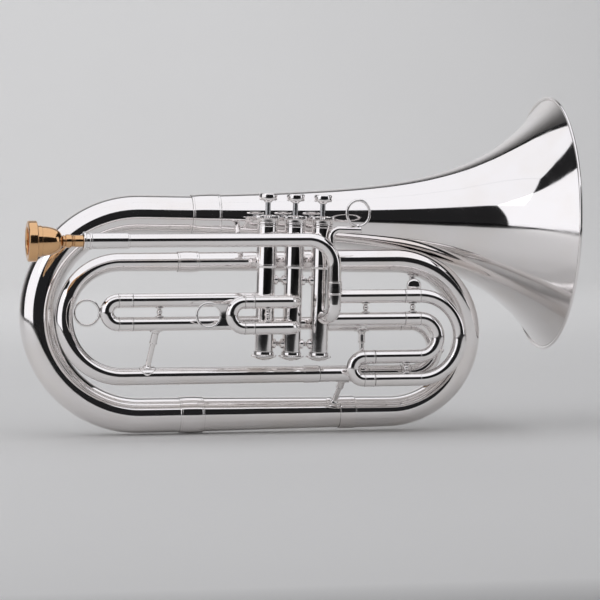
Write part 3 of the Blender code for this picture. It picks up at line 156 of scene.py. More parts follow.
@dataclass(frozen=True)
class Turning:
    """A piece of turned work.

    Attributes:
        profile: Its outline; one that starts on the axis is solid, and any other is a ring.
        sides: Steps round it.
        knurl: Start, end, radius and depth of its knurl, if any, in millimetres.
    """

    profile: Profile
    sides: Sides = Sides.FINE
    knurl: tuple[float, ...] = ()


class Sock:
    """One output of a shader node, whose sums and products are written as Python expressions."""

    def __init__(self, sheet: "NodeSheet", socket: bpy.types.NodeSocket | None) -> None:
        """Keeps the socket and the sheet that it belongs to."""
        self.sheet = sheet
        self.socket = socket

    def _math(self, operation: str, first: Any, second: Any) -> "Sock":
        """Adds one Math node."""
        return self.sheet.node("ShaderNodeMath", {"operation": operation}, {0: first, 1: second})

    def __add__(self, other: Any) -> "Sock":
        """Sum."""
        return self._math("ADD", self, other)

    def __radd__(self, other: Any) -> "Sock":
        """Sum with a plain number first."""
        return self._math("ADD", other, self)

    def __sub__(self, other: Any) -> "Sock":
        """Difference."""
        return self._math("SUBTRACT", self, other)

    def __rsub__(self, other: Any) -> "Sock":
        """Difference with a plain number first."""
        return self._math("SUBTRACT", other, self)

    def __mul__(self, other: Any) -> "Sock":
        """Product."""
        return self._math("MULTIPLY", self, other)


@dataclass(frozen=True)
class Patches:
    """Blotches on a surface: noise between two of its values, stretched over nought to one.

    Attributes:
        scale: How many there are in a metre, roughly.
        detail: How ragged they are.
        low: The noise's value where they start.
        high: Its value where they are full.
    """

    scale: float
    detail: float
    low: float
    high: float


class NodeSheet:
    """The node tree of one material or of the world, with one way to add any node."""

    def __init__(self, tree: bpy.types.NodeTree) -> None:
        """Starts from an empty tree."""
        self.tree = tree
        tree.nodes.clear()

    def node(self, kind: str, settings: dict[str, Any], inputs: dict[Any, Any], output: Any = 0) -> Sock:
        """Adds a node.

        Args:
            kind: The node's type name.
            settings: Its own properties.
            inputs: Values or links by socket name or number.
            output: The name or number of the output that is wanted.

        Returns:
            That output, empty where the node has none.
        """
        made = self.tree.nodes.new(kind)
        for key, value in settings.items():
            setattr(made, key, value)
        for key, value in inputs.items():
            if isinstance(value, Sock):
                self.tree.links.new(value.socket, made.inputs[key])
            else:
                made.inputs[key].default_value = value
        return Sock(self, made.outputs[output] if made.outputs else None)

    def place(self) -> Sock:
        """The spot on the piece, in its own frame."""
        return self.node("ShaderNodeTexCoord", {}, {}, "Object")

    def stretched(self, place: Sock, scale: Sequence[float]) -> Sock:
        """The same spot, scaled apart along each axis."""
        return self.node("ShaderNodeMapping", {}, {"Vector": place, "Scale": tuple(scale)})

    def noise(self, place: Sock, scale: float, detail: float) -> Sock:
        """A cloud of noise whose patches are about one over the scale wide, in metres."""
        return self.node("ShaderNodeTexNoise", {}, {"Vector": place, "Scale": scale, "Detail": detail})

    def ramp(self, value: Sock, low: float, high: float) -> Sock:
        """Stretches the part of a value between low and high over nought to one."""
        inputs = {"Value": value, "From Min": low, "From Max": high}
        return self.node("ShaderNodeMapRange", {"clamp": True}, inputs)

    def patches(self, place: Sock, kind: Patches) -> Sock:
        """Blotches of a kind."""
        return self.ramp(self.noise(place, kind.scale, kind.detail), kind.low, kind.high)

    def mix(self, factor: Sock, first: Any, second: Any) -> Sock:
        """Mixes two colours."""
        return self.node("ShaderNodeMix", {"data_type": "RGBA"}, {0: factor, 6: first, 7: second}, 2)

    def bump(self, strength: float, depth: float, height: Sock) -> Sock:
        """The normal of a surface that follows a height."""
        return self.node("ShaderNodeBump", {}, {"Strength": strength, "Distance": depth, "Height": height})

    def surface(self, inputs: dict[str, Any]) -> None:
        """Ends a material's sheet with its surface."""
        shader = self.node("ShaderNodeBsdfPrincipled", {}, inputs)
        self.node("ShaderNodeOutputMaterial", {}, {"Surface": shader})


def new_material(name: str) -> tuple[bpy.types.Material, NodeSheet]:
    """Starts a material.

    Args:
        name: Its name.

    Returns:
        The material and its empty node sheet.
    """
    made = bpy.data.materials.new(name)
    made.use_nodes = True
    return made, NodeSheet(made.node_tree)


@dataclass(frozen=True)
class PlatedMetal:
    """Polished plate on brass: a mirror with slow tint, wiping haze, polishing lines, slight waves and
    painted shade in its corners and seams.
    """

    name: str
    slot: Slot
    colour: Colour
    tint: Colour  # where the plate has begun to tarnish
    grime_and_shade: Colour  # dark colour painted where ambient occlusion finds corners and seams: painted shade, also standing for polish grime
    shine: float  # roughness of the clean mirror
    haze: float  # roughness that a hazy patch adds
    wave: float  # depth of the slow waves that bending and buffing leave
    tarnish: tuple[Patches, float] = (Patches(18.0, 4.0, 0.48, 0.78), 0.35)  # and how much tint they show
    wiped: Patches = Patches(46.0, 6.0, 0.42, 0.80)
    specks: tuple[Patches, float] = (Patches(900.0, 1.0, 0.72, 0.80), 0.2)
    lines: tuple[float, float, float] = (60.0, 1500.0, 1500.0)  # scale along each axis
    line_haze: float = 0.4
    line_depth: float = 0.012
    seam: tuple[float, float, float] = (0.0022, 0.18, 0.75)  # reach of the occlusion test, and where its painted shade starts and is full
    # how strongly the painted shade in corners and seams darkens the colour
    shade_share: float = 0.85
    seam_haze: float = 0.2
    wave_scale: float = 34.0
    wave_strength: float = 0.35

    def make(self) -> bpy.types.Material:
        """Builds the finish.

        Returns:
            The material.
        """
        made, sheet = new_material(self.name)
        place = sheet.place()
        lines = sheet.noise(sheet.stretched(place, self.lines), 1.0, 2.0)
        reach, *shut = self.seam
        # Ambient occlusion marks corners and seams between parts, where shade falls. The colour there is
        # darkened towards the grime colour as painted shade, and the roughness is raised.
        open_air = sheet.node("ShaderNodeAmbientOcclusion", {"samples": 6}, {"Distance": reach}, "AO")
        occluded = sheet.ramp(1.0 - open_air, *shut)
        (tarnish, tarnish_share), (specks, speck_share) = self.tarnish, self.specks
        tint = sheet.patches(place, tarnish) * tarnish_share + sheet.patches(place, specks) * speck_share
        plate = sheet.mix(tint, self.colour, self.tint)
        haze = sheet.patches(place, self.wiped) * self.haze + lines * (self.haze * self.line_haze)
        height = sheet.noise(place, self.wave_scale, 1.0) + lines * self.line_depth
        inputs = {
            # painted shade: the colour is darkened where ambient occlusion finds corners and seams
            "Base Color": sheet.mix(occluded * self.shade_share, plate, self.grime_and_shade),
            "Metallic": 1.0,
            "Roughness": self.shine + haze + occluded * self.seam_haze,
            "Normal": sheet.bump(self.wave_strength, self.wave, height),
        }
        sheet.surface(inputs)
        return made


@dataclass(frozen=True)
class GroundSteel:
    """Fine-ground nickel steel with rings of grinding round the piece."""

    name: str
    slot: Slot
    colour: Colour
    shade: Colour  # of the grinding marks
    rings: tuple[float, float, float] = (90.0, 90.0, 2600.0)  # scale along each axis
    smear: float = 60.0
    roughness: tuple[float, float, float] = (0.14, 0.16, 0.06)  # smooth, and what marks and smears add
    bump: tuple[float, float] = (0.2, 0.00004)  # strength and depth

    def make(self) -> bpy.types.Material:
        """Builds the finish.

        Returns:
            The material.
        """
        made, sheet = new_material(self.name)
        place = sheet.place()
        rings = sheet.noise(sheet.stretched(place, self.rings), 1.0, 3.0)
        smooth, marked, smeared = self.roughness
        inputs = {
            "Base Color": sheet.mix(rings, self.colour, self.shade),
            "Metallic": 1.0,
            "Roughness": smooth + rings * marked + sheet.noise(place, self.smear, 4.0) * smeared,
            "Normal": sheet.bump(*self.bump, rings),
        }
        sheet.surface(inputs)
        return made


@dataclass(frozen=True)
class PressedCork:
    """Natural cork: pale grain with dark pores."""

    name: str
    slot: Slot
    colour: Colour
    pore: Colour
    flecks: Patches = Patches(700.0, 4.0, 0.52, 0.68)
    share: float = 0.8  # how dark and how deep the flecks are
    cells: float = 1400.0  # in a metre
    roughness: tuple[float, float] = (0.75, 0.2)  # of the grain, and what flecks add
    bump: tuple[float, float] = (0.6, 0.0001)  # strength and depth

    def make(self) -> bpy.types.Material:
        """Builds the finish.

        Returns:
            The material.
        """
        made, sheet = new_material(self.name)
        place = sheet.place()
        cells = sheet.node("ShaderNodeTexVoronoi", {}, {"Vector": place, "Scale": self.cells}, "Distance")
        flecks = sheet.patches(place, self.flecks)
        smooth, added = self.roughness
        inputs = {
            "Base Color": sheet.mix(flecks * self.share, self.colour, self.pore),
            "Roughness": smooth + flecks * added,
            "Normal": sheet.bump(*self.bump, cells - flecks * self.share),
        }
        sheet.surface(inputs)
        return made


@dataclass(frozen=True)
class StudioPaint:
    """Matt pale paint of the floor and backdrop, which fades far in front into near black: painted shade
    standing for the unlit front of the room.
    """

    name: str = "pale_paint"
    colour: Colour = (0.835, 0.83, 0.815, 1)
    mottle: Colour = (0.81, 0.805, 0.79, 1)
    # painted shade: the near black that the floor turns to far in front
    front_shade: Colour = (0.02, 0.02, 0.02, 1)
    edge: tuple[float, float] = (1.03, 1.3)  # how far in front the pale paint starts to fade into painted shade, and where it is gone
    blots: float = 2.5
    roughness: float = 0.7

    def make(self) -> bpy.types.Material:
        """Builds the finish.

        Returns:
            The material.
        """
        made, sheet = new_material(self.name)
        place = sheet.place()
        paint = sheet.mix(sheet.noise(place, self.blots, 3.0), self.colour, self.mottle)
        ahead = 0.0 - sheet.node("ShaderNodeSeparateXYZ", {}, {"Vector": place}, "Y")
        # Far in front the floor is darkened towards near black as painted shade.
        colour = sheet.mix(sheet.ramp(ahead, *self.edge), paint, self.front_shade)
        sheet.surface({"Base Color": colour, "Roughness": self.roughness})
        return made


class Finishes:
    """The finishes of this horn, each made once."""

    def __init__(self) -> None:
        """Makes the materials."""
        self.silver = PlatedMetal(
            "silver_plate",
            Slot.SILVER,
            colour=(0.942, 0.915, 0.908, 1),
            tint=(0.84, 0.765, 0.69, 1),
            # dark colour of the painted shade in corners and seams, also standing for polish grime
            grime_and_shade=(0.15, 0.115, 0.09, 1),
            shine=0.035,
            haze=0.075,
            wave=0.0004,
        )
        self.gold = PlatedMetal(
            "gold_plate",
            Slot.GOLD,
            colour=(0.80, 0.49, 0.255, 1),
            tint=(0.62, 0.33, 0.13, 1),
            # dark colour of the painted shade in corners and seams, also standing for polish grime
            grime_and_shade=(0.14, 0.07, 0.02, 1),
            shine=0.09,
            haze=0.07,
            wave=0.0002,
        )
        self.steel = GroundSteel("ground_steel", Slot.STEEL, (0.60, 0.60, 0.61, 1), (0.40, 0.40, 0.41, 1))
        self.cork = PressedCork("natural_cork", Slot.CORK, (0.55, 0.37, 0.20, 1), (0.20, 0.11, 0.05, 1))
        self.made = {one.name: one.make() for one in (self.silver, self.gold, self.steel, self.cork)}

    def material(self, finish: Any) -> bpy.types.Material:
        """The material of a finish."""
        return self.made[finish.name]


def trace(profile: Profile, spot: float = 0.0, radius: float = 0.0) -> Outline:
    """The outline of a profile, whose millimetres are counted from a spot and a radius."""
    return [(spot + along * MM, radius + out * MM) for along, out in profile]


def flipped(half: list[Any], length: float) -> list[Any]:
    """The points of a piece's first half as they lie in its second half, in order."""
    return [(length - spot, *rest) for spot, *rest in reversed(half)]


def bored(outline: Outline, bore: float) -> list[Knot]:
    """The knots of a tube with this outside and one bore."""
    return [(spot, radius, bore) for spot, radius in outline]


def arc(count: int, turn: float = math.pi / 2) -> list[float]:
    """The angles of equal steps round a turn, without its start."""
    return [turn * i / count for i in range(1, count + 1)]


def helix(radius: float, low: float, high: float, turns: int) -> list[Vector]:
    """The points of a spring about X.

    Args:
        radius: The helix's radius.
        low: Where it starts along X.
        high: Where it ends.
        turns: Its turns.

    Returns:
        The points, in order.
    """
    count = turns * HELIX_STEPS
    angles = [0.0, *arc(count, math.tau * turns)]
    spots = [low + (high - low) * i / count for i in range(count + 1)]
    return [Vector((x, radius * math.cos(a), radius * math.sin(a))) for x, a in zip(spots, angles)]


def stand(origin: Sequence[float], axis: Sequence[float], guide: Vector = Z_AXIS) -> Matrix:
    """A frame with its own X along an axis.

    Args:
        origin: Where it stands.
        axis: The way of its X.
        guide: The way that its Z points, as nearly as X allows.

    Returns:
        The frame.
    """
    along = Vector(axis).normalized()
    if abs(along.dot(guide)) > 0.9:
        guide = Y_AXIS
    across = guide.cross(along).normalized()
    turn = Matrix((along, across, along.cross(across))).transposed()
    return Matrix.Translation(Vector(origin)) @ turn.to_4x4()


def even_bends(corners: Spots) -> list[float]:
    """The largest one radius that fits both bends of a line.

    Args:
        corners: The line's four corners.

    Returns:
        That radius, twice.
    """
    a, b, c, d = (Vector(corner) for corner in corners)
    turns = ((b - a).angle(c - b), (c - b).angle(d - c))
    return [(c - b).length / sum(math.tan(turn / 2) for turn in turns)] * 2


def soften(outline: Outline, radius: float = EDGE, closed: bool = True) -> Outline:
    """Rounds the sharp corners of an outline, and holds long runs straight right up to them.

    Args:
        outline: Points of distance and radius.
        radius: How far the rounding reaches from a corner.
        closed: Whether the outline's ends meet.

    Returns:
        The outline with its sharp corners rounded.
    """
    spots = [Vector(point) for point in outline]
    made: list[Vector] = []
    for i, corner in enumerate(spots):
        before = spots[i - 1] - corner
        after = spots[(i + 1) % len(spots)] - corner
        loose = not closed and i in (0, len(spots) - 1)
        if loose or min(before.length, after.length) < MERGE:
            made.append(corner)
            continue
        turn = math.pi - before.angle(after)
        reach = min(radius, before.length * EDGE_SHARE, after.length * EDGE_SHARE)
        if turn <= SMOOTH / 2:
            reach = 0.0
        held = turn > HOLD_TURN
        if held and before.length > HOLD_RUN:
            made.append(corner + before.normalized() * (reach + HOLD))
        if reach:
            start, end = corner + before.normalized() * reach, corner + after.normalized() * reach
            for t in (0.0, *arc(ROUND_STEPS, 1.0)):
                made.append(start * (1 - t) ** 2 + corner * 2 * t * (1 - t) + end * t**2)
        else:
            made.append(corner)
        if held and after.length > HOLD_RUN:
            made.append(corner + after.normalized() * (reach + HOLD))
    return [(point.x, point.y) for point in made]


class Route:
    """A centre line of straight runs joined by round bends.

    Attributes:
        points: The line's points, close together in its bends.
        marks: The distance of each point along the line.
        length: The line's whole length.
    """

    def __init__(self, corners: Spots, bends: Sequence[float] = (), step: float = BEND_STEP) -> None:
        """Lays the line out.

        Args:
            corners: The corners, first and last points included.
            bends: The bend radius at each inner corner.
            step: The largest turn between two points of a bend.
        """
        spots = [Vector(corner) for corner in corners]
        self.points = [spots[0]]
        for *three, radius in zip(spots, spots[1:], spots[2:], bends):
            self._add_bend(three, radius, step)
        self._add(spots[-1])
        self.marks = [0.0]
        for first, second in zip(self.points, self.points[1:]):
            self.marks.append(self.marks[-1] + (second - first).length)
        self.length = self.marks[-1]

    def _add(self, point: Vector) -> None:
        """Adds a point, unless the line is already there."""
        if (point - self.points[-1]).length > MERGE:
            self.points.append(point)

    def _add_bend(self, three: Sequence[Vector], radius: float, step: float) -> None:
        """Adds one bend's points.

        Args:
            three: The corner before it, its own corner and the one after it.
            radius: The bend's radius.
            step: The largest turn between two points.
        """
        before, corner, after = three
        inward = (corner - before).normalized()
        outward = (after - corner).normalized()
        turn = inward.angle(outward)
        start = corner - inward * radius * math.tan(turn / 2)
        toward = (outward - inward * inward.dot(outward)).normalized()
        for angle in (0.0, *arc(max(2, math.ceil(turn / step)), turn)):
            ahead, aside = radius * math.sin(angle), radius * (1 - math.cos(angle))
            self._add(start + inward * ahead + toward * aside)

    def stations(self, knots: Sequence[Knot]) -> list[Knot]:
        """The knots with the line's own points put in between.

        Args:
            knots: Distance, outer radius and bore radius, in order.

        Returns:
            The filled list, with the radii worked out.
        """
        found = [knots[0]]
        for first, second in zip(knots, knots[1:]):
            for mark in self.marks:
                if first[0] + 4 * EDGE < mark < second[0] - 4 * EDGE:
                    share = (mark - first[0]) / (second[0] - first[0])
                    outer, bore = (a + (b - a) * share for a, b in zip(first[1:], second[1:]))
                    found.append((mark, outer, bore))
            found.append(second)
        return found


class Bench:
    """The hand tools: each shapes a piece with Blender's operators."""

    def __init__(self, finishes: Finishes) -> None:
        """Keeps the finishes at hand."""
        self.finishes = finishes

    def take(self, piece: Piece, *others: Piece) -> None:
        """Selects pieces.

        Args:
            piece: The piece that becomes the active one.
            others: Pieces that are selected with it.
        """
        bpy.ops.object.select_all(action="DESELECT")
        for one in (*others, piece):
            one.select_set(True)
        bpy.context.view_layer.objects.active = piece

    def edit(self, piece: Piece) -> None:
        """Opens a piece in edit mode with all of it selected.

        Args:
            piece: The piece.
        """
        self.take(piece)
        bpy.ops.object.mode_set(mode="EDIT")
        bpy.ops.mesh.select_mode(type="VERT")
        bpy.ops.mesh.select_all(action="SELECT")

    def close(self) -> None:
        """Leaves edit mode."""
        bpy.ops.object.mode_set(mode="OBJECT")

    def seal(self) -> None:
        """Merges doubled points, turns all faces outwards and leaves edit mode."""
        bpy.ops.mesh.select_all(action="SELECT")
        bpy.ops.mesh.remove_doubles(threshold=MERGE)
        bpy.ops.mesh.normals_make_consistent(inside=False)
        self.close()

    def apply(self, piece: Piece, modifier: bpy.types.Modifier) -> Piece:
        """Applies a modifier.

        Args:
            piece: The piece that has it.
            modifier: The modifier.

        Returns:
            The piece.
        """
        self.take(piece)
        bpy.ops.object.modifier_apply(modifier=modifier.name)
        return piece

    def place(self, piece: Piece, frame: Matrix) -> Piece:
        """Moves a piece into a frame and applies that to its mesh.

        Args:
            piece: The piece.
            frame: The frame.

        Returns:
            The piece.
        """
        piece.matrix_world = frame
        self.take(piece)
        bpy.ops.object.transform_apply(location=True, rotation=True, scale=True)
        return piece

    def wire(self, points: Spots, closed: bool = True) -> Piece:
        """A line of edges: a circle of as many points, each moved to its place.

        Args:
            points: The places, in order.
            closed: Whether the line's ends are joined.

        Returns:
            The piece.
        """
        bpy.ops.object.select_all(action="DESELECT")
        bpy.ops.mesh.primitive_circle_add(vertices=len(points), radius=1.0, fill_type="NOTHING")
        piece = bpy.context.object
        piece.data.vertices.foreach_set("co", [value for point in points for value in point])
        if not closed:
            self.edit(piece)
            bpy.ops.mesh.select_mode(type="EDGE")
            bpy.ops.mesh.select_all(action="DESELECT")
            self.close()
            for edge in piece.data.edges:
                edge.select = set(edge.vertices) == {0, len(points) - 1}
            bpy.ops.object.mode_set(mode="EDIT")
            bpy.ops.mesh.delete(type="EDGE_FACE")
            self.close()
        return piece

    def sheet(self, piece: Piece, way: Sequence[float], filled: bool) -> Piece:
        """Draws a line out into a sheet, or its filled outline into a plate.

        Args:
            piece: The line.
            way: How far it is drawn out.
            filled: Whether the outline is filled first.

        Returns:
            The piece.
        """
        self.edit(piece)
        if filled:
            bpy.ops.mesh.edge_face_add()
        bpy.ops.mesh.extrude_region_move(TRANSFORM_OT_translate={"value": way})
        self.seal()
        return piece

    def turn(
        self, outline: Outline, sides: Sides = Sides.FINE, closed: bool = True, at: Matrix = HOME
    ) -> Piece:
        """Turns a piece about its own X.

        Args:
            outline: Points of distance along X and radius.
            sides: Steps round the piece.
            closed: Whether the outline is a ring; an open one starts and ends on the axis.
            at: The frame that the piece is placed in.

        Returns:
            The piece.
        """
        piece = self.wire([(along, 0.0, radius) for along, radius in outline], closed)
        self.edit(piece)
        bpy.ops.mesh.spin(steps=int(sides), angle=math.tau, center=(0, 0, 0), axis=(1, 0, 0))
        self.seal()
        return self.place(piece, at)

    def solid(
        self, outline: Outline, sides: Sides = Sides.FINE, edge: float = EDGE, at: Matrix = HOME
    ) -> Piece:
        """Turns a solid piece whose outline starts and ends on the axis, with its corners softened."""
        return self.turn(soften(outline, edge, closed=False), sides, closed=False, at=at)

    def lathe(self, work: Turning, at: Matrix = HOME) -> Piece:
        """Turns a piece from its profile.

        Args:
            work: The turned work.
            at: The frame that it is placed in.

        Returns:
            The piece.
        """
        outline = trace(work.profile)
        solid = outline[0][1] == 0
        piece = self.turn(soften(outline, closed=not solid), work.sides, closed=not solid)
        if work.knurl:
            self.knurl(piece, *(value * MM for value in work.knurl))
        return self.place(piece, at)

    def drum(
        self, ends: Sequence[float], radius: float, at: Matrix, sides: Sides = Sides.WIDE, edge: float = 0.0
    ) -> Piece:
        """Turns a plain round bar.

        Args:
            ends: Where it starts and ends along X.
            radius: Its radius.
            at: The frame that it is placed in.
            sides: Steps round it.
            edge: How far its corners are softened, if at all.

        Returns:
            The piece.
        """
        low, high = ends
        outline = [(low, 0.0), (low, radius), (high, radius), (high, 0.0)]
        if edge:
            outline = soften(outline, edge, closed=False)
        return self.turn(outline, sides, closed=False, at=at)

    def bend(self, piece: Piece, route: Route) -> Piece:
        """Bends a straight piece along a line, as a tube is bent after it is drawn.

        Args:
            piece: The piece, lying along X.
            route: The line.

        Returns:
            The piece.
        """
        line = bpy.data.curves.new("line", "CURVE")
        line.dimensions = "3D"
        spline = line.splines.new("POLY")
        spline.points.add(len(route.points) - 1)
        for knot, point in zip(spline.points, route.points):
            knot.co = (*point, 1.0)
        guide = bpy.data.objects.new(line.name, line)
        bpy.context.collection.objects.link(guide)
        modifier = piece.modifiers.new("bend", "CURVE")
        modifier.object = guide
        modifier.deform_axis = "POS_X"
        self.apply(piece, modifier)
        bpy.data.objects.remove(guide)
        bpy.data.curves.remove(line)
        return piece

    def tube(self, route: Route, knots: Sequence[Knot], sides: Sides = Sides.FINE) -> Piece:
        """Draws a hollow tube straight and bends it along a line.

        Args:
            route: The line.
            knots: Distance, outer radius and bore radius, in order.
            sides: Steps round the tube.

        Returns:
            The piece.
        """
        stations = route.stations(knots)
        outer = list(dict.fromkeys((spot, radius) for spot, radius, _ in stations))
        inner = list(dict.fromkeys((spot, radius) for spot, _, radius in stations))
        return self.bend(self.turn(soften(outer + inner[::-1]), sides), route)

    def rod(self, route: Route, radius: float, sides: Sides = Sides.FINE, edge: float = EDGE) -> Piece:
        """A solid round bar along a line.

        Args:
            route: The line.
            radius: The bar's radius.
            sides: Steps round it.
            edge: How far its ends are rounded.

        Returns:
            The piece.
        """
        stations = route.stations([(0.0, radius, 0.0), (route.length, radius, 0.0)])
        outline = [(0.0, 0.0), *((spot, outer) for spot, outer, _ in stations), (route.length, 0.0)]
        return self.bend(self.solid(outline, sides, edge), route)

    def hoop(self, outside: float, wire: float, at: Matrix) -> Piece:
        """A round wire ring about its frame's own X.

        Args:
            outside: The ring's radius to its outside.
            wire: The wire's diameter.
            at: The ring's frame.

        Returns:
            The piece.
        """
        half = wire / 2
        angles = [0.0, *arc(Sides.HOOP, math.tau)[:-1]]
        outline = [(half * math.sin(a), outside - half + half * math.cos(a)) for a in angles]
        return self.turn(outline, Sides.WIDE, at=at)

    def cut(self, piece: Piece, tool: Piece, how: Cut = Cut.REMOVE) -> Piece:
        """Cuts a piece.

        Args:
            piece: The piece.
            tool: The tool, which is used up.
            how: What the tool does.

        Returns:
            The piece.
        """
        modifier = piece.modifiers.new("cut", "BOOLEAN")
        modifier.operation = how.value
        modifier.solver = "EXACT"
        modifier.object = tool
        self.apply(piece, modifier)
        bpy.data.objects.remove(tool)
        return piece

    def join(self, piece: Piece, *others: Piece) -> Piece:
        """Solders pieces into one.

        Args:
            piece: The piece that the others become part of.
            others: The other pieces.

        Returns:
            The piece.
        """
        self.take(piece, *others)
        bpy.ops.object.join()
        return piece

    def round_edges(self, piece: Piece, width: float) -> Piece:
        """Rounds the sharp edges of a piece.

        Args:
            piece: The piece.
            width: How far the rounding reaches.

        Returns:
            The piece.
        """
        modifier = piece.modifiers.new("round", "BEVEL")
        modifier.width = width
        modifier.segments = ROUND_STEPS
        modifier.limit_method = "ANGLE"
        modifier.angle_limit = SHARP
        return self.apply(piece, modifier)

    def knurl(self, piece: Piece, low: float, high: float, radius: float, depth: float) -> None:
        """Presses a row of notches into a turned piece, still lying on its own X.

        Args:
            piece: The piece, turned with the sides of a knurled one.
            low: Where the notches start along X.
            high: Where they end.
            radius: The radius of the band that gets them.
            depth: How deep they are.
        """
        self.edit(piece)
        bpy.ops.mesh.select_all(action="DESELECT")
        self.close()
        hold = radius - KNURL_REACH
        for vert in piece.data.vertices:
            spot, around = vert.co.x, math.hypot(vert.co.y, vert.co.z)
            column = round(math.atan2(vert.co.z, vert.co.y) / math.tau * Sides.KNURLED)
            vert.select = column % 2 == 0 and low - SLACK < spot < high + SLACK and around > hold
        bpy.ops.object.mode_set(mode="EDIT")
        share = (hold - depth) / hold
        bpy.ops.transform.resize(value=(1.0, share, share), center_override=(0, 0, 0))
        self.close()

    def block(self, low: Sequence[float], high: Sequence[float], edge: float) -> Piece:
        """A box with rounded edges.

        Args:
            low: Its lowest corner.
            high: Its highest corner.
            edge: How far the rounding reaches, if at all.

        Returns:
            The piece.
        """
        bpy.ops.object.select_all(action="DESELECT")
        low, high = Vector(low), Vector(high)
        bpy.ops.mesh.primitive_cube_add(size=1.0, location=(low + high) / 2)
        piece = bpy.context.object
        piece.scale = high - low
        bpy.ops.object.transform_apply(location=True, rotation=True, scale=True)
        return self.round_edges(piece, edge) if edge else piece

    def dress(self, piece: Piece, node: str, body: Body, finish: Any) -> None:
        """Finishes a piece that stands for a solid."""
        self.trim(piece, "fine_" + node, body, finish)
        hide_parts(node)

    def trim(self, piece: Piece, name: str, body: Body, finish: Any) -> None:
        """Finishes a piece.

        Args:
            piece: The piece.
            name: Its last name.
            body: The body that it rides on.
            finish: Its finish.
        """
        piece.name = name
        piece.data.name = name
        self.take(piece)
        bpy.ops.object.shade_smooth_by_angle(angle=SMOOTH)
        piece.data.materials.clear()
        piece.data.materials.append(self.finishes.material(finish))
        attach(piece, body.value)
        LOG.info("%s rides on %s with %d faces", name, body.value, len(piece.data.polygons))


@dataclass(frozen=True)
class HornSizes:
    """Sizes that more than one sub-assembly uses, and the profiles of the small turned work."""

    gap: float = 0.0003
    slide_fit: float = 0.00025
    tube_wall: float = 0.0008
    bow_wall: float = 0.0010
    band_rise: float = 0.0004
    ferrule_wall: float = 0.0009
    valve_spacing: float = 0.0273
    valve_lean: float = math.radians(1.8)
    casing_radius: float = 0.0093
    casing_half: float = 0.062
    head_radius: float = 0.0101
    leadpipe_side: float = 0.024
    leadpipe_height: float = 0.048
    leadpipe_radius: float = 0.00675
    tuning_side: float = 0.01835
    tuning_upper: float = -0.035
    tuning_lower: float = -0.085
    tuning_radius: float = 0.00815
    tuning_start: float = 0.030
    inner_side: float = 0.03135
    inner_height: float = 0.0258
    inner_radius: float = 0.0093
    bottom_side: float = 0.05485
    bottom_height: float = -0.126
    bottom_radius: float = 0.0172
    bell_side: float = 0.06635
    spigot: float = 0.010
    ring_wire: float = 0.0026
    stay_radius: float = 0.0027
    stay_sink: float = 0.0002
    stay_collar: float = 0.34
    foot_width: float = 0.0078
    foot_rise: float = 0.0008
    foot_edge: float = 0.00025
    foot_shares: tuple[float, float] = (0.2, 0.9)
    pillar_bead: float = 0.0029
    pillar_edge: float = 0.0003
    collar_bead: Profile = ((0.0, 0.55), (0.48, 0.8), (1.6, 0.8), (1.9, 0.45), (2.2, 0.62))
    collar_barrel: tuple[float, float] = (0.3, 0.95)
    post_foot: Profile = ((-1.0, 0.0), (-1.0, 4.6), (1.0, 4.6), (2.4, 3.6))
    post_collar: Profile = ((-1.2, 3.6), (-0.9, 4.0), (0.0, 4.0), (0.3, 2.7))
    post_head: Profile = ((-3.0, 2.7), (-2.2, 3.2), (-1.0, 4.6), (1.0, 4.6), (1.0, 0.0))
    pillar_foot: Profile = ((-0.6, 0.0), (-0.6, 4.1), (0.4, 4.1), (1.0, 2.6), (1.6, 1.7))
    band_start: Profile = ((0.0, 0.4), (0.9, 0.4), (1.1, 0.12))
    band_end: Profile = ((-1.1, 0.12), (-0.9, 0.4), (0.0, 0.4), (0.0, -0.3), (0.4, -0.3), (0.4, 0.0))

    def valve_up(self) -> Vector:
        """The direction of the leaning valves."""
        return Vector((math.sin(self.valve_lean), 0, math.cos(self.valve_lean)))

    def valve_across(self) -> Vector:
        """The direction from each valve to the next."""
        return Y_AXIS.cross(self.valve_up())

    def valve_foot(self, number: int) -> Vector:
        """The middle of a valve."""
        return self.valve_across() * (number - 2) * self.valve_spacing

    def valve_frame(self, number: int) -> Matrix:
        """A valve's own frame, with its X up the valve."""
        return stand(self.valve_foot(number), self.valve_up())

    def valve_point(self, number: int, height: float) -> Vector:
        """The point of a valve's axis at a height in the horn's own frame."""
        up, foot = self.valve_up(), self.valve_foot(number)
        return foot + up * (height - foot.z) / up.z


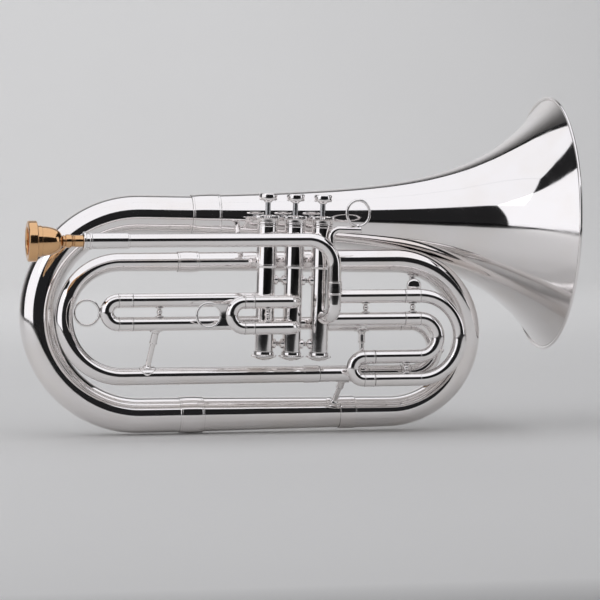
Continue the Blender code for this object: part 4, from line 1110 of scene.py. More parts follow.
@dataclass
class SubAssembly:
    """A group of pieces that belong together.

    Attributes:
        bench: The tools.
        sizes: The shared sizes.
    """

    bench: Bench
    sizes: HornSizes

    def silver(self, piece: Piece, node: str, body: Body = Body.HORN) -> None:
        """Finishes a silver-plated piece."""
        self.bench.dress(piece, node, body, self.bench.finishes.silver)

    def casing_tool(self, number: int) -> Piece:
        """A cutter that stops a tube inside a casing's wall."""
        s, half = self.sizes, self.sizes.casing_half
        return self.bench.drum((-half, half), s.casing_radius - s.gap, s.valve_frame(number))

    def sleeve(
        self, node: str, corners: Spots, radius: float, bends: Sequence[float] = (), valve: int = 0
    ) -> None:
        """A plain tube.

        Args:
            node: The solid that it stands for.
            corners: The corners of its line.
            radius: Its outer radius.
            bends: The bend radius at each inner corner.
            valve: The valve that it is fitted to, if any.
        """
        route = Route(corners, bends)
        knots = bored([(0.0, radius), (route.length, radius)], radius - self.sizes.tube_wall)
        tube = self.bench.tube(route, knots)
        if valve:
            self.bench.cut(tube, self.casing_tool(valve))
        self.silver(tube, node)

    def ferrule(
        self, node: str, ends: Sequence[Vector], radii: Sequence[float], sides: Sides = Sides.WIDE
    ) -> None:
        """A collar over a joint.

        Args:
            node: The solid that it stands for.
            ends: The two ends of its axis.
            radii: The outside of the tubes that it sits on, at each end.
            sides: Steps round it.
        """
        route = Route(ends)
        knots = self.collar(0.0, route.length, *radii)
        self.silver(self.bench.tube(route, knots, sides), node)

    def collar(self, start: float, end: float, first: float, last: float) -> list[Knot]:
        """The knots of a slightly barrelled band with a bead at each end.

        Args:
            start: Where it starts along its tube.
            end: Where it ends.
            first: The tube's radius at its start.
            last: The tube's radius at its end.

        Returns:
            Distance, outer radius and bore radius, in order.
        """
        s, length = self.sizes, end - start
        reach, rise = s.collar_barrel
        half = [*((spot * MM, share) for spot, share in s.collar_bead), (length * reach, rise)]
        knots = []
        for spot, share in (*half, (length / 2, 1.0), *flipped(half, length)):
            tube = first + (last - first) * spot / length
            knots.append((start + spot, tube + share * s.ferrule_wall, tube))
        return knots

    def post(self, start: Vector, start_radius: float, end: Vector, end_radius: float) -> Piece:
        """A stay between two tubes that run along X: a turned rod with a collar, on two curved feet.

        Args:
            start: The point on the first tube's line.
            start_radius: The first tube's radius.
            end: The point on the second tube's line.
            end_radius: The second tube's radius.

        Returns:
            The piece.
        """
        s, along = self.sizes, end - start
        low, high = start_radius + s.stay_sink, along.length - end_radius - s.stay_sink
        collar = trace(s.post_collar, low + (high - low) * s.stay_collar)
        outline = trace(s.post_foot, low) + collar + trace(s.post_head, high)
        shaft = self.bench.solid(outline, edge=SOFT_EDGE, at=stand(start, along))
        feet = [self.saddle(start, along, start_radius), self.saddle(end, -along, end_radius)]
        return self.bench.join(shaft, *feet)

    def saddle(self, spot: Vector, away: Vector, radius: float, widest: float = 0.0) -> Piece:
        """A round foot curved to sit on a tube that runs along X.

        Args:
            spot: The point on the tube's line.
            away: The way from there to the foot.
            radius: The tube's radius.
            widest: The foot's largest radius, where it isn't the usual one.

        Returns:
            The piece.
        """
        s = self.sizes
        root, share = s.foot_shares
        foot, rise = min(widest or s.foot_width, radius * share), s.foot_rise
        ends = (radius * root, radius + rise * 2)
        disc = self.bench.drum(ends, foot, stand(spot, away), Sides.FINE)
        half, low, high = foot * 2, radius - rise, radius + rise
        shell = [(-half, low), (half, low), (half, high), (-half, high)]
        tool = self.bench.turn(shell, Sides.WIDE, at=Matrix.Translation(spot))
        return self.bench.round_edges(self.bench.cut(disc, tool, Cut.KEEP), s.foot_edge)

    def pillar(self, low: Vector, high: Vector) -> Piece:
        """A small turned spool between two tubes, with a bead at its middle.

        Args:
            low: Where it meets the lower tube.
            high: Where it meets the upper one.

        Returns:
            The piece.
        """
        s, along = self.sizes, high - low
        half = trace(s.pillar_foot)
        for degrees in range(35, 91, 11):
            angle, middle = math.radians(degrees), along.length / 2
            half.append((middle - s.pillar_bead * math.cos(angle), s.pillar_bead * math.sin(angle)))
        outline = half + flipped(half, along.length)
        return self.bench.solid(outline, edge=s.pillar_edge, at=stand(low, along))

    def slide_end(self, radius: float, leg: float, shoulder: float) -> list[Knot]:
        """The knots of one end of a slide: its leg, a lined ferrule and the start of the crook.

        Args:
            radius: The crook's outer radius.
            leg: How much of the slide lies in its sleeve.
            shoulder: The ferrule's length.

        Returns:
            Distance, outer radius and bore radius, in order.
        """
        s = self.sizes
        inner = radius - s.tube_wall - s.slide_fit
        start, end = leg + s.gap, leg + shoulder
        band = trace(s.band_start, start, radius) + trace(s.band_end, end, radius)
        return bored([(0.0, inner), (start, inner), *band], inner - s.tube_wall)

    def crook(
        self, pull: int, centre: Vector, gauge: float, radius: float, sleeve: float, turn: float, leg: float
    ) -> Piece:
        """A U-shaped slide.

        Args:
            pull: 1 for a slide pulled towards +X, -1 towards -X.
            centre: The middle of the slide's two tubes at its zero reach.
            gauge: The distance between the two tubes.
            radius: The crook's outer radius.
            sleeve: How far out the sleeves end.
            turn: How far out the bend starts.
            leg: How much of the slide lies in its sleeves.

        Returns:
            The piece.
        """
        half = gauge / 2
        spots = ((sleeve - leg, half), (turn + half, half), (turn + half, -half), (sleeve - leg, -half))
        route = Route([centre + Vector((pull * x, 0, z)) for x, z in spots], [half, half])
        first = self.slide_end(radius, leg, turn - sleeve)
        return self.bench.tube(route, first + flipped(first, route.length))


@dataclass
class ValveCluster(SubAssembly):
    """Three piston valves on one leaning frame: casings with links, caps, pistons, buttons and springs."""

    casing: Turning = Turning(
        ((-62.0, 9.3), (19.8, 9.3), (21.0, 9.6), (21.0, 10.5), (23.0, 10.5), (23.0, 10.1), (59.8, 10.1))
        + ((60.1, 9.9), (60.4, 10.1), (62.0, 10.1), (62.0, 8.2), (-62.0, 8.2)),
        Sides.WIDE,
    )
    top_cap: Turning = Turning(
        ((57.3, 7.9), (62.3, 7.9), (62.3, 10.6), (63.7, 10.6), (64.0, 10.3), (64.3, 10.6), (67.2, 10.6))
        + ((67.8, 11.8), (70.1, 11.8), (71.0, 10.6), (71.0, 5.46), (71.3, 4.94), (71.3, 2.9), (70.1, 2.9))
        + ((69.2, 7.0), (57.3, 7.0)),
        Sides.KNURLED,
        (67.8, 70.1, 11.8, 0.35),
    )
    bottom_cap: Turning = Turning(
        ((-70.6, 0.0), (-70.6, 1.6), (-70.2, 2.4), (-69.9, 3.0), (-69.8, 5.5), (-69.2, 7.8), (-68.0, 10.1))
        + ((-67.0, 12.3), (-65.3, 12.3), (-65.0, 10.1), (-62.3, 10.1), (-62.3, 7.9), (-57.3, 7.9))
        + ((-57.3, 7.0), (-67.6, 7.0), (-67.6, 0.0)),
        Sides.KNURLED,
        (-67.0, -65.3, 12.3, 0.35),
    )
    piston: Turning = Turning(
        ((-30.0, 0.0), (-30.0, 6.5), (-40.0, 6.5), (-40.0, 7.9), (46.0, 7.9), (46.0, 2.6), (87.4, 2.6))
        + ((87.4, 0.0),)
    )
    button: Turning = Turning(
        ((91.4, 0.0), (91.5, 4.005), (92.0, 6.408), (92.2, 7.12), (92.0, 7.921), (91.5, 8.544), (90.8, 8.811))
        + ((90.0, 8.9), (87.2, 8.9), (86.3, 8.722), (85.6, 8.277), (85.2, 7.476), (84.9, 4.6), (84.2, 3.8))
        + ((83.4, 3.5), (83.4, 2.9), (87.7, 2.9), (87.7, 0.0)),
        Sides.BRANCH,
    )
    link_heights: tuple[float, float] = (0.008, -0.054)
    link_radius: float = 0.0047
    link_sink: float = 0.0022
    link_waist: Profile = ((-2.7, 4.7), (-2.2, 3.9), (-1.2, 2.2), (-0.8, 1.7), (-0.4, 2.4))
    spring_ends: tuple[float, float] = (-0.0673, -0.0303)
    spring_radius: float = 0.0053
    spring_wire: float = 0.0011
    spring_turns: int = 5
    travel: float = 0.012

    def build(self) -> None:
        """Builds the three valves."""
        s, lathe, steel = self.sizes, self.bench.lathe, self.bench.finishes.steel
        for number in (1, 2, 3):
            frame, body = s.valve_frame(number), Body(f"valve_{number}")
            casing = lathe(self.casing, frame)
            if number == 2:
                links = [self.link(side, height, frame) for side in (-1, 1) for height in self.link_heights]
                self.bench.join(casing, *links)
            self.silver(casing, f"casing_{number}")
            self.silver(lathe(self.top_cap, frame), f"top_cap_{number}")
            self.silver(lathe(self.bottom_cap, frame), f"bottom_cap_{number}")
            self.silver(lathe(self.button, frame), f"button_{number}", body)
            self.bench.dress(lathe(self.piston, frame), f"piston_{number}", body, steel)
            spring = self.bench.place(self.spring(), frame)
            self.bench.dress(spring, f"spring_{number}", Body.HORN, steel)
            s.valve_up()
            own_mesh(spring)

    def link(self, side: int, height: float, frame: Matrix) -> Piece:
        """A turned spool between the middle casing and a neighbour, fitted to both.

        Args:
            side: 1 for the link to the third valve, -1 to the first.
            height: Its height on the valve.
            frame: The middle valve's frame.

        Returns:
            The piece.
        """
        s = self.sizes
        start = s.casing_radius - self.link_sink
        half = [(start, 0.0), (start, self.link_radius), *trace(self.link_waist, s.valve_spacing / 2)]
        outline = half + flipped(half, s.valve_spacing)
        at = stand(frame @ (X_AXIS * height), s.valve_across() * side)
        spool = self.bench.solid(outline, edge=s.pillar_edge, at=at)
        for number in (2, 2 + side):
            self.bench.cut(spool, self.casing_tool(number))
        return spool

    def spring(self) -> Piece:
        """The return spring between a cap's floor and its piston's recess.

        Returns:
            The piece.
        """
        wire = self.spring_wire / 2
        low, high = self.spring_ends
        points = helix(self.spring_radius, low + wire, high - wire, self.spring_turns)
        return self.bench.rod(Route(points, [0.0] * (len(points) - 2)), wire, Sides.SPRING, wire / 2)


@dataclass
class Mouthpipe(SubAssembly):
    """Mouthpiece, receiver, leadpipe and the elbow into the third valve."""

    bend_radius: float = 0.026
    spot: float = 0.036
    joint: float = 0.001
    collar_length: float = 0.0125
    collar_lip: Profile = ((0.0, 0.0), (1.0, 0.0), (1.2, -0.3))
    inlet_height: float = -0.028
    inlet_bend: float = 0.0135
    mouth: float = -0.2095
    receiver_length: float = 0.0445
    receiver_wall: float = 0.0009
    receiver_mouth: Profile = ((0.0, 0.3), (0.6, 0.9), (2.4, 0.9), (2.8, -0.6))
    receiver_ring: Profile = ((6.0, -0.6), (6.3, 0.4), (7.9, 0.4), (8.4, 0.0))
    receiver_step: Profile = ((-1.6, 0.0), (-1.3, -0.25), (0.0, -0.5))
    overlap: float = 0.020
    shank_in: float = 0.022
    shank_radius: float = 0.0060
    shank_end: float = 0.0054
    shank_length: float = 0.0205
    shank_bore: float = 0.0044
    shank_groove: Profile = ((-8.2, -0.3), (-8.6, -0.9), (-9.2, -0.9), (-9.4, -0.1), (-10.1, -0.1))
    shank_barrel: Profile = ((-10.3, -0.9), (-10.9, -0.9), (-11.3, 0.2), (-14.0, 0.4), (-16.8, 0.2))
    shank_neck: Profile = ((-17.2, -0.9), (-17.8, -0.9), (-18.1, -0.4), (-19.4, -0.4), (-19.8, -1.0))
    throat_radius: float = 0.0044
    throat_bore: float = 0.0034
    throat_step: float = 0.0006
    cup_length: float = 0.0330
    cup_depth: float = 0.0280
    cup_radius: float = 0.0150
    cup_step: float = 0.0045
    cup_line: float = 0.0007
    cup_power: float = 0.92
    cup_mouth: float = 0.0132
    rim_radius: float = 0.0196
    rim_length: float = 0.0090
    rim_drop: float = 0.0020
    rim_power: float = 0.6
    rim_chamfer: float = 0.0006
    rim_fall: float = 0.0004
    edge: float = 0.0003

    def build(self) -> None:
        """Builds the mouthpipe from the lips to the valve."""
        y, z = -self.sizes.leadpipe_side, self.sizes.leadpipe_height
        start = self.mouth + self.receiver_length - self.overlap
        corners = [(start, y, z), (self.spot, y, z), (self.spot, y, self.joint)]
        self.sleeve("leadpipe", corners, self.sizes.leadpipe_radius, [self.bend_radius])
        self.receiver(y, z)
        self.elbow(y)
        self.mouthpiece(stand((self.mouth, y, z), X_AXIS))

    def receiver(self, y: float, z: float) -> None:
        """The sleeve that takes the mouthpiece, with beads at its mouth and a fine step at its end.

        Args:
            y: The leadpipe's side.
            z: Its height.
        """
        bore = self.sizes.leadpipe_radius + self.sizes.slide_fit
        outside, length = bore + self.receiver_wall, self.receiver_length
        route = Route([(self.mouth, y, z), (self.mouth + length, y, z)])
        outline = trace(self.receiver_mouth + self.receiver_ring, 0.0, outside)
        outline += trace(self.receiver_step, route.length, outside)
        self.silver(self.bench.tube(route, bored(outline, bore)), "receiver")

    def elbow(self, y: float) -> None:
        """The elbow with the ferrule that takes the leadpipe.

        Args:
            y: The leadpipe's side.
        """
        s, length = self.sizes, self.collar_length
        radius, half = s.leadpipe_radius, length / 2
        bore, socket = radius - s.tube_wall, radius + s.slide_fit
        target = s.valve_point(3, self.inlet_height)
        corners = [(self.spot, y, self.joint + half), (self.spot, y, target.z), target]
        route = Route(corners, [self.inlet_bend])
        lip = trace(self.collar_lip, 0.0, socket + s.tube_wall)
        low = lip[-1][1]
        outer = [(half + s.gap, low), *flipped(lip, length), (length, radius), (route.length, radius)]
        knots = bored([*lip, (half, low)], socket) + bored(outer, bore)
        self.silver(self.bench.cut(self.bench.tube(route, knots), self.casing_tool(3)), "inlet_elbow")

    def mouthpiece(self, frame: Matrix) -> None:
        """Rim, cup, throat and shank, turned in one piece.

        Args:
            frame: Its frame, with X into the receiver.
        """
        throat = -self.shank_length
        rim = throat - self.cup_length
        lip, crest = rim + self.rim_length, rim + self.rim_drop
        step, bowl = lip + self.cup_step, self.cup_radius - self.cup_line
        turning = self.shank_groove + self.shank_barrel + self.shank_neck
        outline = [(self.shank_in, self.shank_end), *trace(turning, 0.0, self.shank_radius)]
        outline.append((throat - self.throat_step, self.throat_radius))
        for angle in arc(14):
            swell = (bowl - self.throat_radius) * math.sin(angle) ** self.cup_power
            outline.append((throat + (step - throat) * (1 - math.cos(angle)), self.throat_radius + swell))
        outline += [
            (step, self.cup_radius),
            (lip, self.cup_radius),
            (lip, self.rim_radius - self.rim_chamfer),
            (lip - self.rim_chamfer, self.rim_radius),
            (crest + self.rim_fall, self.rim_radius),
        ]
        middle, width = (self.rim_radius + self.cup_mouth) / 2, (self.rim_radius - self.cup_mouth) / 2
        for angle in arc(12, math.pi)[:-1]:
            drop = self.rim_drop * math.sin(angle) ** self.rim_power
            outline.append((crest - drop, middle + width * math.cos(angle)))
        outline.append((crest + self.rim_chamfer, self.cup_mouth))
        for angle in arc(14):
            hollow = self.throat_bore + (self.cup_mouth - self.throat_bore) * math.cos(angle)
            outline.append((crest + (self.cup_depth - self.rim_drop) * math.sin(angle), hollow))
        outline.append((self.shank_in, self.shank_bore))
        piece = self.bench.turn(soften(outline, self.edge), Sides.WIDE, at=frame)
        self.bench.dress(piece, "mouthpiece", Body.MOUTHPIECE, self.bench.finishes.gold)


@dataclass
class BellAndBows(SubAssembly):
    """The bell and the conical tubes behind the valves."""

    rim_x: float = 0.2757
    rim_height: float = 0.0617
    pitch: float = math.radians(1.3)
    length: float = 0.352
    tail_radius: float = 0.0208
    taper: float = 0.0388
    rim_radius: float = 0.1272
    flare_length: float = 0.069
    wall: float = 0.0010
    bead: float = 0.0030
    bead_start: float = 0.6
    bead_sink: float = 0.4
    bead_flat: float = 0.98
    bead_root: float = 0.0004
    rings: int = 90
    ring_power: float = 1.6
    ferrule_length: float = 0.028
    left_x: float = -0.2425
    left_radius: float = 0.0202
    bottom_joint: float = -0.0925
    bottom_ferrule: float = 0.0235
    bottom_end: float = 0.057
    bottom_end_radius: float = 0.0152
    socket: float = 0.015
    lip: float = 0.0012
    lip_drop: float = 0.0003
    lip_share: float = 0.6
    right_x: float = 0.186
    right_radius: float = 0.0158
    right_joint: float = 0.010
    branch_radius: float = 0.0099
    inner_joint: float = -0.099
    inner_ferrule: float = 0.0205
    inner_x: float = -0.2215
    inner_band: Profile = ((-16.0, 0.1), (-15.0, 0.6), (-1.2, 0.6), (0.0, 0.3))

    def build(self) -> None:
        """Builds the bell, the bows and their joints."""
        s, half = self.sizes, self.ferrule_length / 2
        self.bell()
        ends = [self.axis_point(self.length + half), self.axis_point(self.length - half)]
        radii = (self.left_radius + s.gap, self.radius_at(self.length - half) + s.gap)
        self.ferrule("bell_ferrule", ends, radii, Sides.KNURLED)
        self.left_bow()
        self.bottom_branch()
        self.right_bow()
        self.inner_branch()
        half = self.inner_ferrule / 2
        ends = [Vector((self.inner_joint + side * half, s.inner_side, s.inner_height)) for side in (-1, 1)]
        self.ferrule("inner_ferrule", ends, (s.inner_radius + s.gap,) * 2)
        self.inner_bow()

    def direction(self) -> Vector:
        """The way the bell points."""
        return Vector((math.cos(self.pitch), 0, -math.sin(self.pitch)))

    def axis_point(self, back: float) -> Vector:
        """A point of the bell's axis at a distance back from the rim."""
        return Vector((self.rim_x, self.sizes.bell_side, self.rim_height)) - self.direction() * back

    def radius_at(self, back: float) -> float:
        """The bell's outer radius at a distance back from its rim."""
        flare = self.rim_radius - self.tail_radius - self.taper * self.length
        return (
            self.tail_radius
            + self.taper * (self.length - back)
            + flare * math.exp(-back / self.flare_length)
        )

    def bell(self) -> None:
        """A spun bell with a rolled wire rim."""
        first, wire = self.bead * self.bead_start, self.bead / 2
        shares = [0.0, *arc(self.rings, 1.0)]
        backs = [first + (self.length - first) * share**self.ring_power for share in shares]
        outline = [(-back, self.radius_at(back)) for back in reversed(backs)]
        for i in range(17):
            angle = math.radians(300 * i / 16 - 150)
            back = wire - wire * math.sin(angle) * self.bead_flat
            radius = self.rim_radius - wire * self.bead_sink + wire * math.cos(angle)
            if radius > self.radius_at(back) - self.bead_root:
                outline.append((-back, radius))
        for back in backs[:-1]:
            slope = (self.radius_at(back + SLACK) - self.radius_at(back)) / SLACK
            scale = self.wall / math.hypot(slope, 1)
            outline.append((-back - slope * scale, self.radius_at(back) - scale))
        outline.append((-self.length, self.radius_at(self.length) - self.wall))
        at = stand(self.axis_point(0), self.direction())
        self.silver(self.bench.turn(outline, Sides.BELL, at=at), "bell")

    def left_bow(self) -> None:
        """The big bow from the bell's tail round to its ferrule on the bottom branch."""
        s, half = self.sizes, self.bottom_ferrule / 2
        back = (self.rim_x - self.left_x) / math.cos(self.pitch)
        corners = [self.axis_point(self.length + s.gap), self.axis_point(back)]
        ends = (self.left_x, self.bottom_joint + half)
        corners += [Vector((x, s.bottom_side, s.bottom_height)) for x in ends]
        route = Route(corners, even_bends(corners), BOW_STEP)
        bore, begin = s.bottom_radius - s.bow_wall, route.length - 2 * half
        collar = self.collar(begin, route.length, *(s.bottom_radius + s.gap,) * 2)
        knots = [(0.0, self.left_radius, self.left_radius - s.bow_wall), (begin, s.bottom_radius, bore)]
        knots += [(spot, outer, bore if spot < begin + half else hole) for spot, outer, hole in collar]
        self.silver(self.bench.tube(route, knots, Sides.BOW), "left_bow")

    def branch(self, node: str, ends: Spots, radii: Sequence[float], straight: float, sides: Sides) -> None:
        """A slightly conical straight tube.

        Args:
            node: The solid that it stands for.
            ends: The two ends of its axis.
            radii: Its outer radius at each end.
            straight: How much of its far end is straight.
            sides: Steps round it.
        """
        route, (first, last) = Route(ends), radii
        outline = [(0.0, first), (route.length - straight, last), (route.length, last)]
        knots = [(spot, radius, radius - self.sizes.bow_wall) for spot, radius in outline]
        self.silver(self.bench.tube(route, knots, sides), node)

    def bottom_branch(self) -> None:
        """The straight branch along the bottom."""
        s, spots = self.sizes, (self.bottom_joint + self.sizes.gap, self.bottom_end + self.socket)
        ends = [(x, s.bottom_side, s.bottom_height) for x in spots]
        radii = (s.bottom_radius, self.bottom_end_radius)
        self.branch("bottom_branch", ends, radii, self.socket, Sides.BOW)

    def inner_branch(self) -> None:
        """The tube behind the valves."""
        s, spots = self.sizes, (self.inner_joint + self.sizes.gap, self.right_joint + self.sizes.spigot)
        ends = [(x, s.inner_side, s.inner_height) for x in spots]
        radii = (s.inner_radius, self.branch_radius)
        self.branch("inner_branch", ends, radii, s.spigot, Sides.BRANCH)

    def right_route(self) -> tuple[Route, float]:
        """The right bow's line.

        Returns:
            The line and the radius of its bends.
        """
        s = self.sizes
        bottom, inner = (s.bottom_side, s.bottom_height), (s.inner_side, s.inner_height)
        corners = [(self.bottom_end, *bottom), (self.right_x, *bottom)]
        corners += [(self.right_x, *inner), (self.right_joint, *inner)]
        bends = even_bends(corners)
        return Route(corners, bends, BOW_STEP), bends[0]

    def right_bow(self) -> None:
        """The bow from its socket on the bottom branch round to the inner branch."""
        s, (route, _) = self.sizes, self.right_route()
        socket, sleeve = self.bottom_end_radius + s.slide_fit, self.branch_radius + s.slide_fit
        rim, top = socket + s.bow_wall, route.length - s.spigot - s.gap
        wide, bore = self.right_radius, self.right_radius - s.bow_wall
        knots = [
            (0.0, rim - self.lip_drop, socket),
            (self.lip, rim, socket),
            (self.socket, rim, socket),
            (self.socket + s.gap, rim, bore),
            (self.socket + self.lip, wide, bore),
            (top, sleeve + s.tube_wall, sleeve - s.tube_wall),
            (top + s.gap, sleeve + s.tube_wall, sleeve),
            (route.length - self.lip, sleeve + s.tube_wall, sleeve),
            (route.length, sleeve + s.tube_wall * self.lip_share, sleeve),
        ]
        self.silver(self.bench.tube(route, knots, Sides.BOW), "right_bow")

    def inner_bow(self) -> None:
        """The bow from the inner branch round to the long run into the lower tuning sleeve."""
        s = self.sizes
        inner, lower = (s.inner_side, s.inner_height), (s.tuning_side, s.tuning_lower)
        corners = [(self.inner_joint, *inner), (self.inner_x, *inner)]
        corners += [(self.inner_x, *lower), (s.tuning_start - s.gap + s.spigot, *lower)]
        route = Route(corners, even_bends(corners), BOW_STEP)
        spigot = s.tuning_radius - s.tube_wall - s.slide_fit
        meet = route.length - s.spigot
        outline = [*trace(self.inner_band, meet, s.tuning_radius), (meet, spigot), (route.length, spigot)]
        knots = [(0.0, s.inner_radius, s.inner_radius - s.bow_wall), *bored(outline, spigot - s.tube_wall)]
        self.silver(self.bench.tube(route, knots, Sides.BRANCH), "inner_bow")


@dataclass
class TuningSlide(SubAssembly):
    """The main tuning slide behind the valves, with its two sleeves and their post."""

    exit_radius: float = 0.0064
    exit_bend: float = 0.0088
    sleeve_end: float = 0.112
    turn: float = 0.122
    leg: float = 0.068
    brace_x: float = 0.073

    def build(self) -> None:
        """Builds the sleeves, the slide and the post."""
        s, y = self.sizes, self.sizes.tuning_side
        radius = s.tuning_radius
        start = s.valve_point(1, s.tuning_upper)
        turn = start + Y_AXIS * y
        route = Route([start, turn, (self.sleeve_end, y, turn.z)], [self.exit_bend])
        wide = route.length - (self.sleeve_end - s.tuning_start)
        outline = [(0.0, self.exit_radius), (wide - s.spigot, self.exit_radius)]
        outline += [(wide, radius), (route.length, radius)]
        upper = self.bench.tube(route, [(spot, out, out - s.tube_wall) for spot, out in outline])
        self.silver(self.bench.cut(upper, self.casing_tool(1)), "tuning_sleeve_upper")
        ends = [(x, y, s.tuning_lower) for x in (s.tuning_start, self.sleeve_end)]
        self.sleeve("tuning_sleeve_lower", ends, radius)
        centre = Vector((0, y, (s.tuning_upper + s.tuning_lower) / 2))
        gauge = s.tuning_upper - s.tuning_lower
        slide = self.crook(1, centre, gauge, radius, self.sleeve_end, self.turn, self.leg)
        self.silver(slide, "tuning_slide", Body.TUNING_SLIDE)
        top, foot = (Vector((self.brace_x, y, z)) for z in (s.tuning_upper, s.tuning_lower))
        self.silver(self.post(top, radius, foot, radius), "tuning_brace")


@dataclass
class FirstSlide(SubAssembly):
    """The long slide out of the first valve, with its pull ring."""

    height: float = -0.0218
    gauge: float = 0.0226
    radius: float = 0.00695
    sleeve_reach: float = 0.1300
    turn: float = 0.1440
    leg: float = 0.100
    brace: float = 0.1040
    ring_radius: float = 0.0135
    ring_sink: float = 0.0010
    leaf: Profile = ((0.0, 0.0), (0.0, 3.0), (1.2, 2.4), (2.4, 1.4), (3.0, 0.0))
    leaf_sink: float = 0.0008

    def build(self) -> None:
        """Builds the sleeves, the slide with its ring and the brace."""
        s, half = self.sizes, self.gauge / 2
        centre = s.valve_point(1, self.height)
        for side, label in ((1, "upper"), (-1, "lower")):
            start = centre + Z_AXIS * side * half
            ends = [start, start - X_AXIS * self.sleeve_reach]
            self.sleeve(f"first_sleeve_{label}", ends, self.radius, valve=1)
        slide = self.crook(-1, centre, self.gauge, self.radius, self.sleeve_reach, self.turn, self.leg)
        reach = self.turn + half + self.radius - self.ring_sink + self.ring_radius
        middle = centre - X_AXIS * reach
        ring = self.bench.hoop(self.ring_radius, s.ring_wire, stand(middle, Y_AXIS))
        at = stand(middle + X_AXIS * (self.ring_radius + self.leaf_sink), -X_AXIS)
        leaf = self.bench.solid(trace(self.leaf), Sides.SMALL, LEAF_EDGE, at)
        self.silver(self.bench.join(slide, ring, leaf), "first_slide", Body.FIRST_SLIDE)
        spot, away = centre - X_AXIS * self.brace, Z_AXIS * (half - self.radius)
        self.silver(self.pillar(spot - away, spot + away), "first_brace")


@dataclass
class SecondSlide(SubAssembly):
    """The short slide out of the front of the second valve, with a webbed pull ring."""

    height: float = -0.0245
    gauge: float = 0.0251
    radius: float = 0.0063
    side: float = 0.020
    elbow: float = 0.0088
    elbow_share: float = 0.2
    elbow_line: Profile = ((0.0, 0.0), (0.4, 0.3))
    sleeve_rise: float = 0.0001
    sleeve_reach: float = 0.0415
    turn: float = 0.0513
    leg: float = 0.024
    brace: float = 0.029
    ring_radius: float = 0.0130
    ring_space: float = 0.0032
    web_thickness: float = 0.0030
    web_height: float = 0.0108
    web_sink: float = 0.0012
    web_edge: float = 0.0006

    def build(self) -> None:
        """Builds the elbowed sleeves and the slide with its web and ring."""
        s, half = self.sizes, self.gauge / 2
        centre = s.valve_point(2, self.height)
        line = trace(self.elbow_line, self.side + self.elbow * self.elbow_share, self.radius)
        for side, label in ((1, "upper"), (-1, "lower")):
            start = centre + Z_AXIS * side * half
            turn = start - Y_AXIS * self.side
            route = Route([start, turn, turn - X_AXIS * self.sleeve_reach], [self.elbow])
            outline = [(0.0, self.radius), *line, (route.length, self.radius + self.sleeve_rise)]
            tube = self.bench.tube(route, bored(outline, self.radius - s.tube_wall))
            self.silver(self.bench.cut(tube, self.casing_tool(2)), f"second_sleeve_{label}")
        middle = centre - Y_AXIS * self.side
        slide = self.crook(-1, middle, self.gauge, self.radius, self.sleeve_reach, self.turn, self.leg)
        reach = self.turn + half + self.radius + self.ring_space + self.ring_radius
        ring = self.bench.hoop(self.ring_radius, s.ring_wire, stand(middle - X_AXIS * reach, Y_AXIS))
        self.silver(self.bench.join(slide, self.web(middle, reach), ring), "second_slide", Body.SECOND_SLIDE)
        spot, away = middle - X_AXIS * self.brace, Z_AXIS * (half - self.radius)
        brace = self.pillar(spot - away, spot + away)
        self.bench.trim(brace, "second_brace", Body.HORN, self.bench.finishes.silver)

    def web(self, middle: Vector, reach: float) -> Piece:
        """The waisted plate between the crook and the ring.

        Args:
            middle: The middle of the slide's two tubes at its zero reach.
            reach: How far out the ring's middle is.

        Returns:
            The piece.
        """
        near = self.gauge / 2 + self.radius - self.web_sink
        far = self.ring_radius - self.sizes.ring_wire / 2
        edge = []
        for centre, radius, facing in ((self.turn, near, 1), (reach, far, -1)):
            spread = math.asin(self.web_height / radius)
            for i in range(17):
                angle = facing * spread * (i / 8 - 1)
                edge.append((-centre - facing * radius * math.cos(angle), 0.0, radius * math.sin(angle)))
        piece = self.bench.sheet(self.bench.wire(edge), Y_AXIS * self.web_thickness, filled=True)
        self.bench.round_edges(piece, self.web_edge)
        return self.bench.place(piece, Matrix.Translation(middle - Y_AXIS * self.web_thickness / 2))


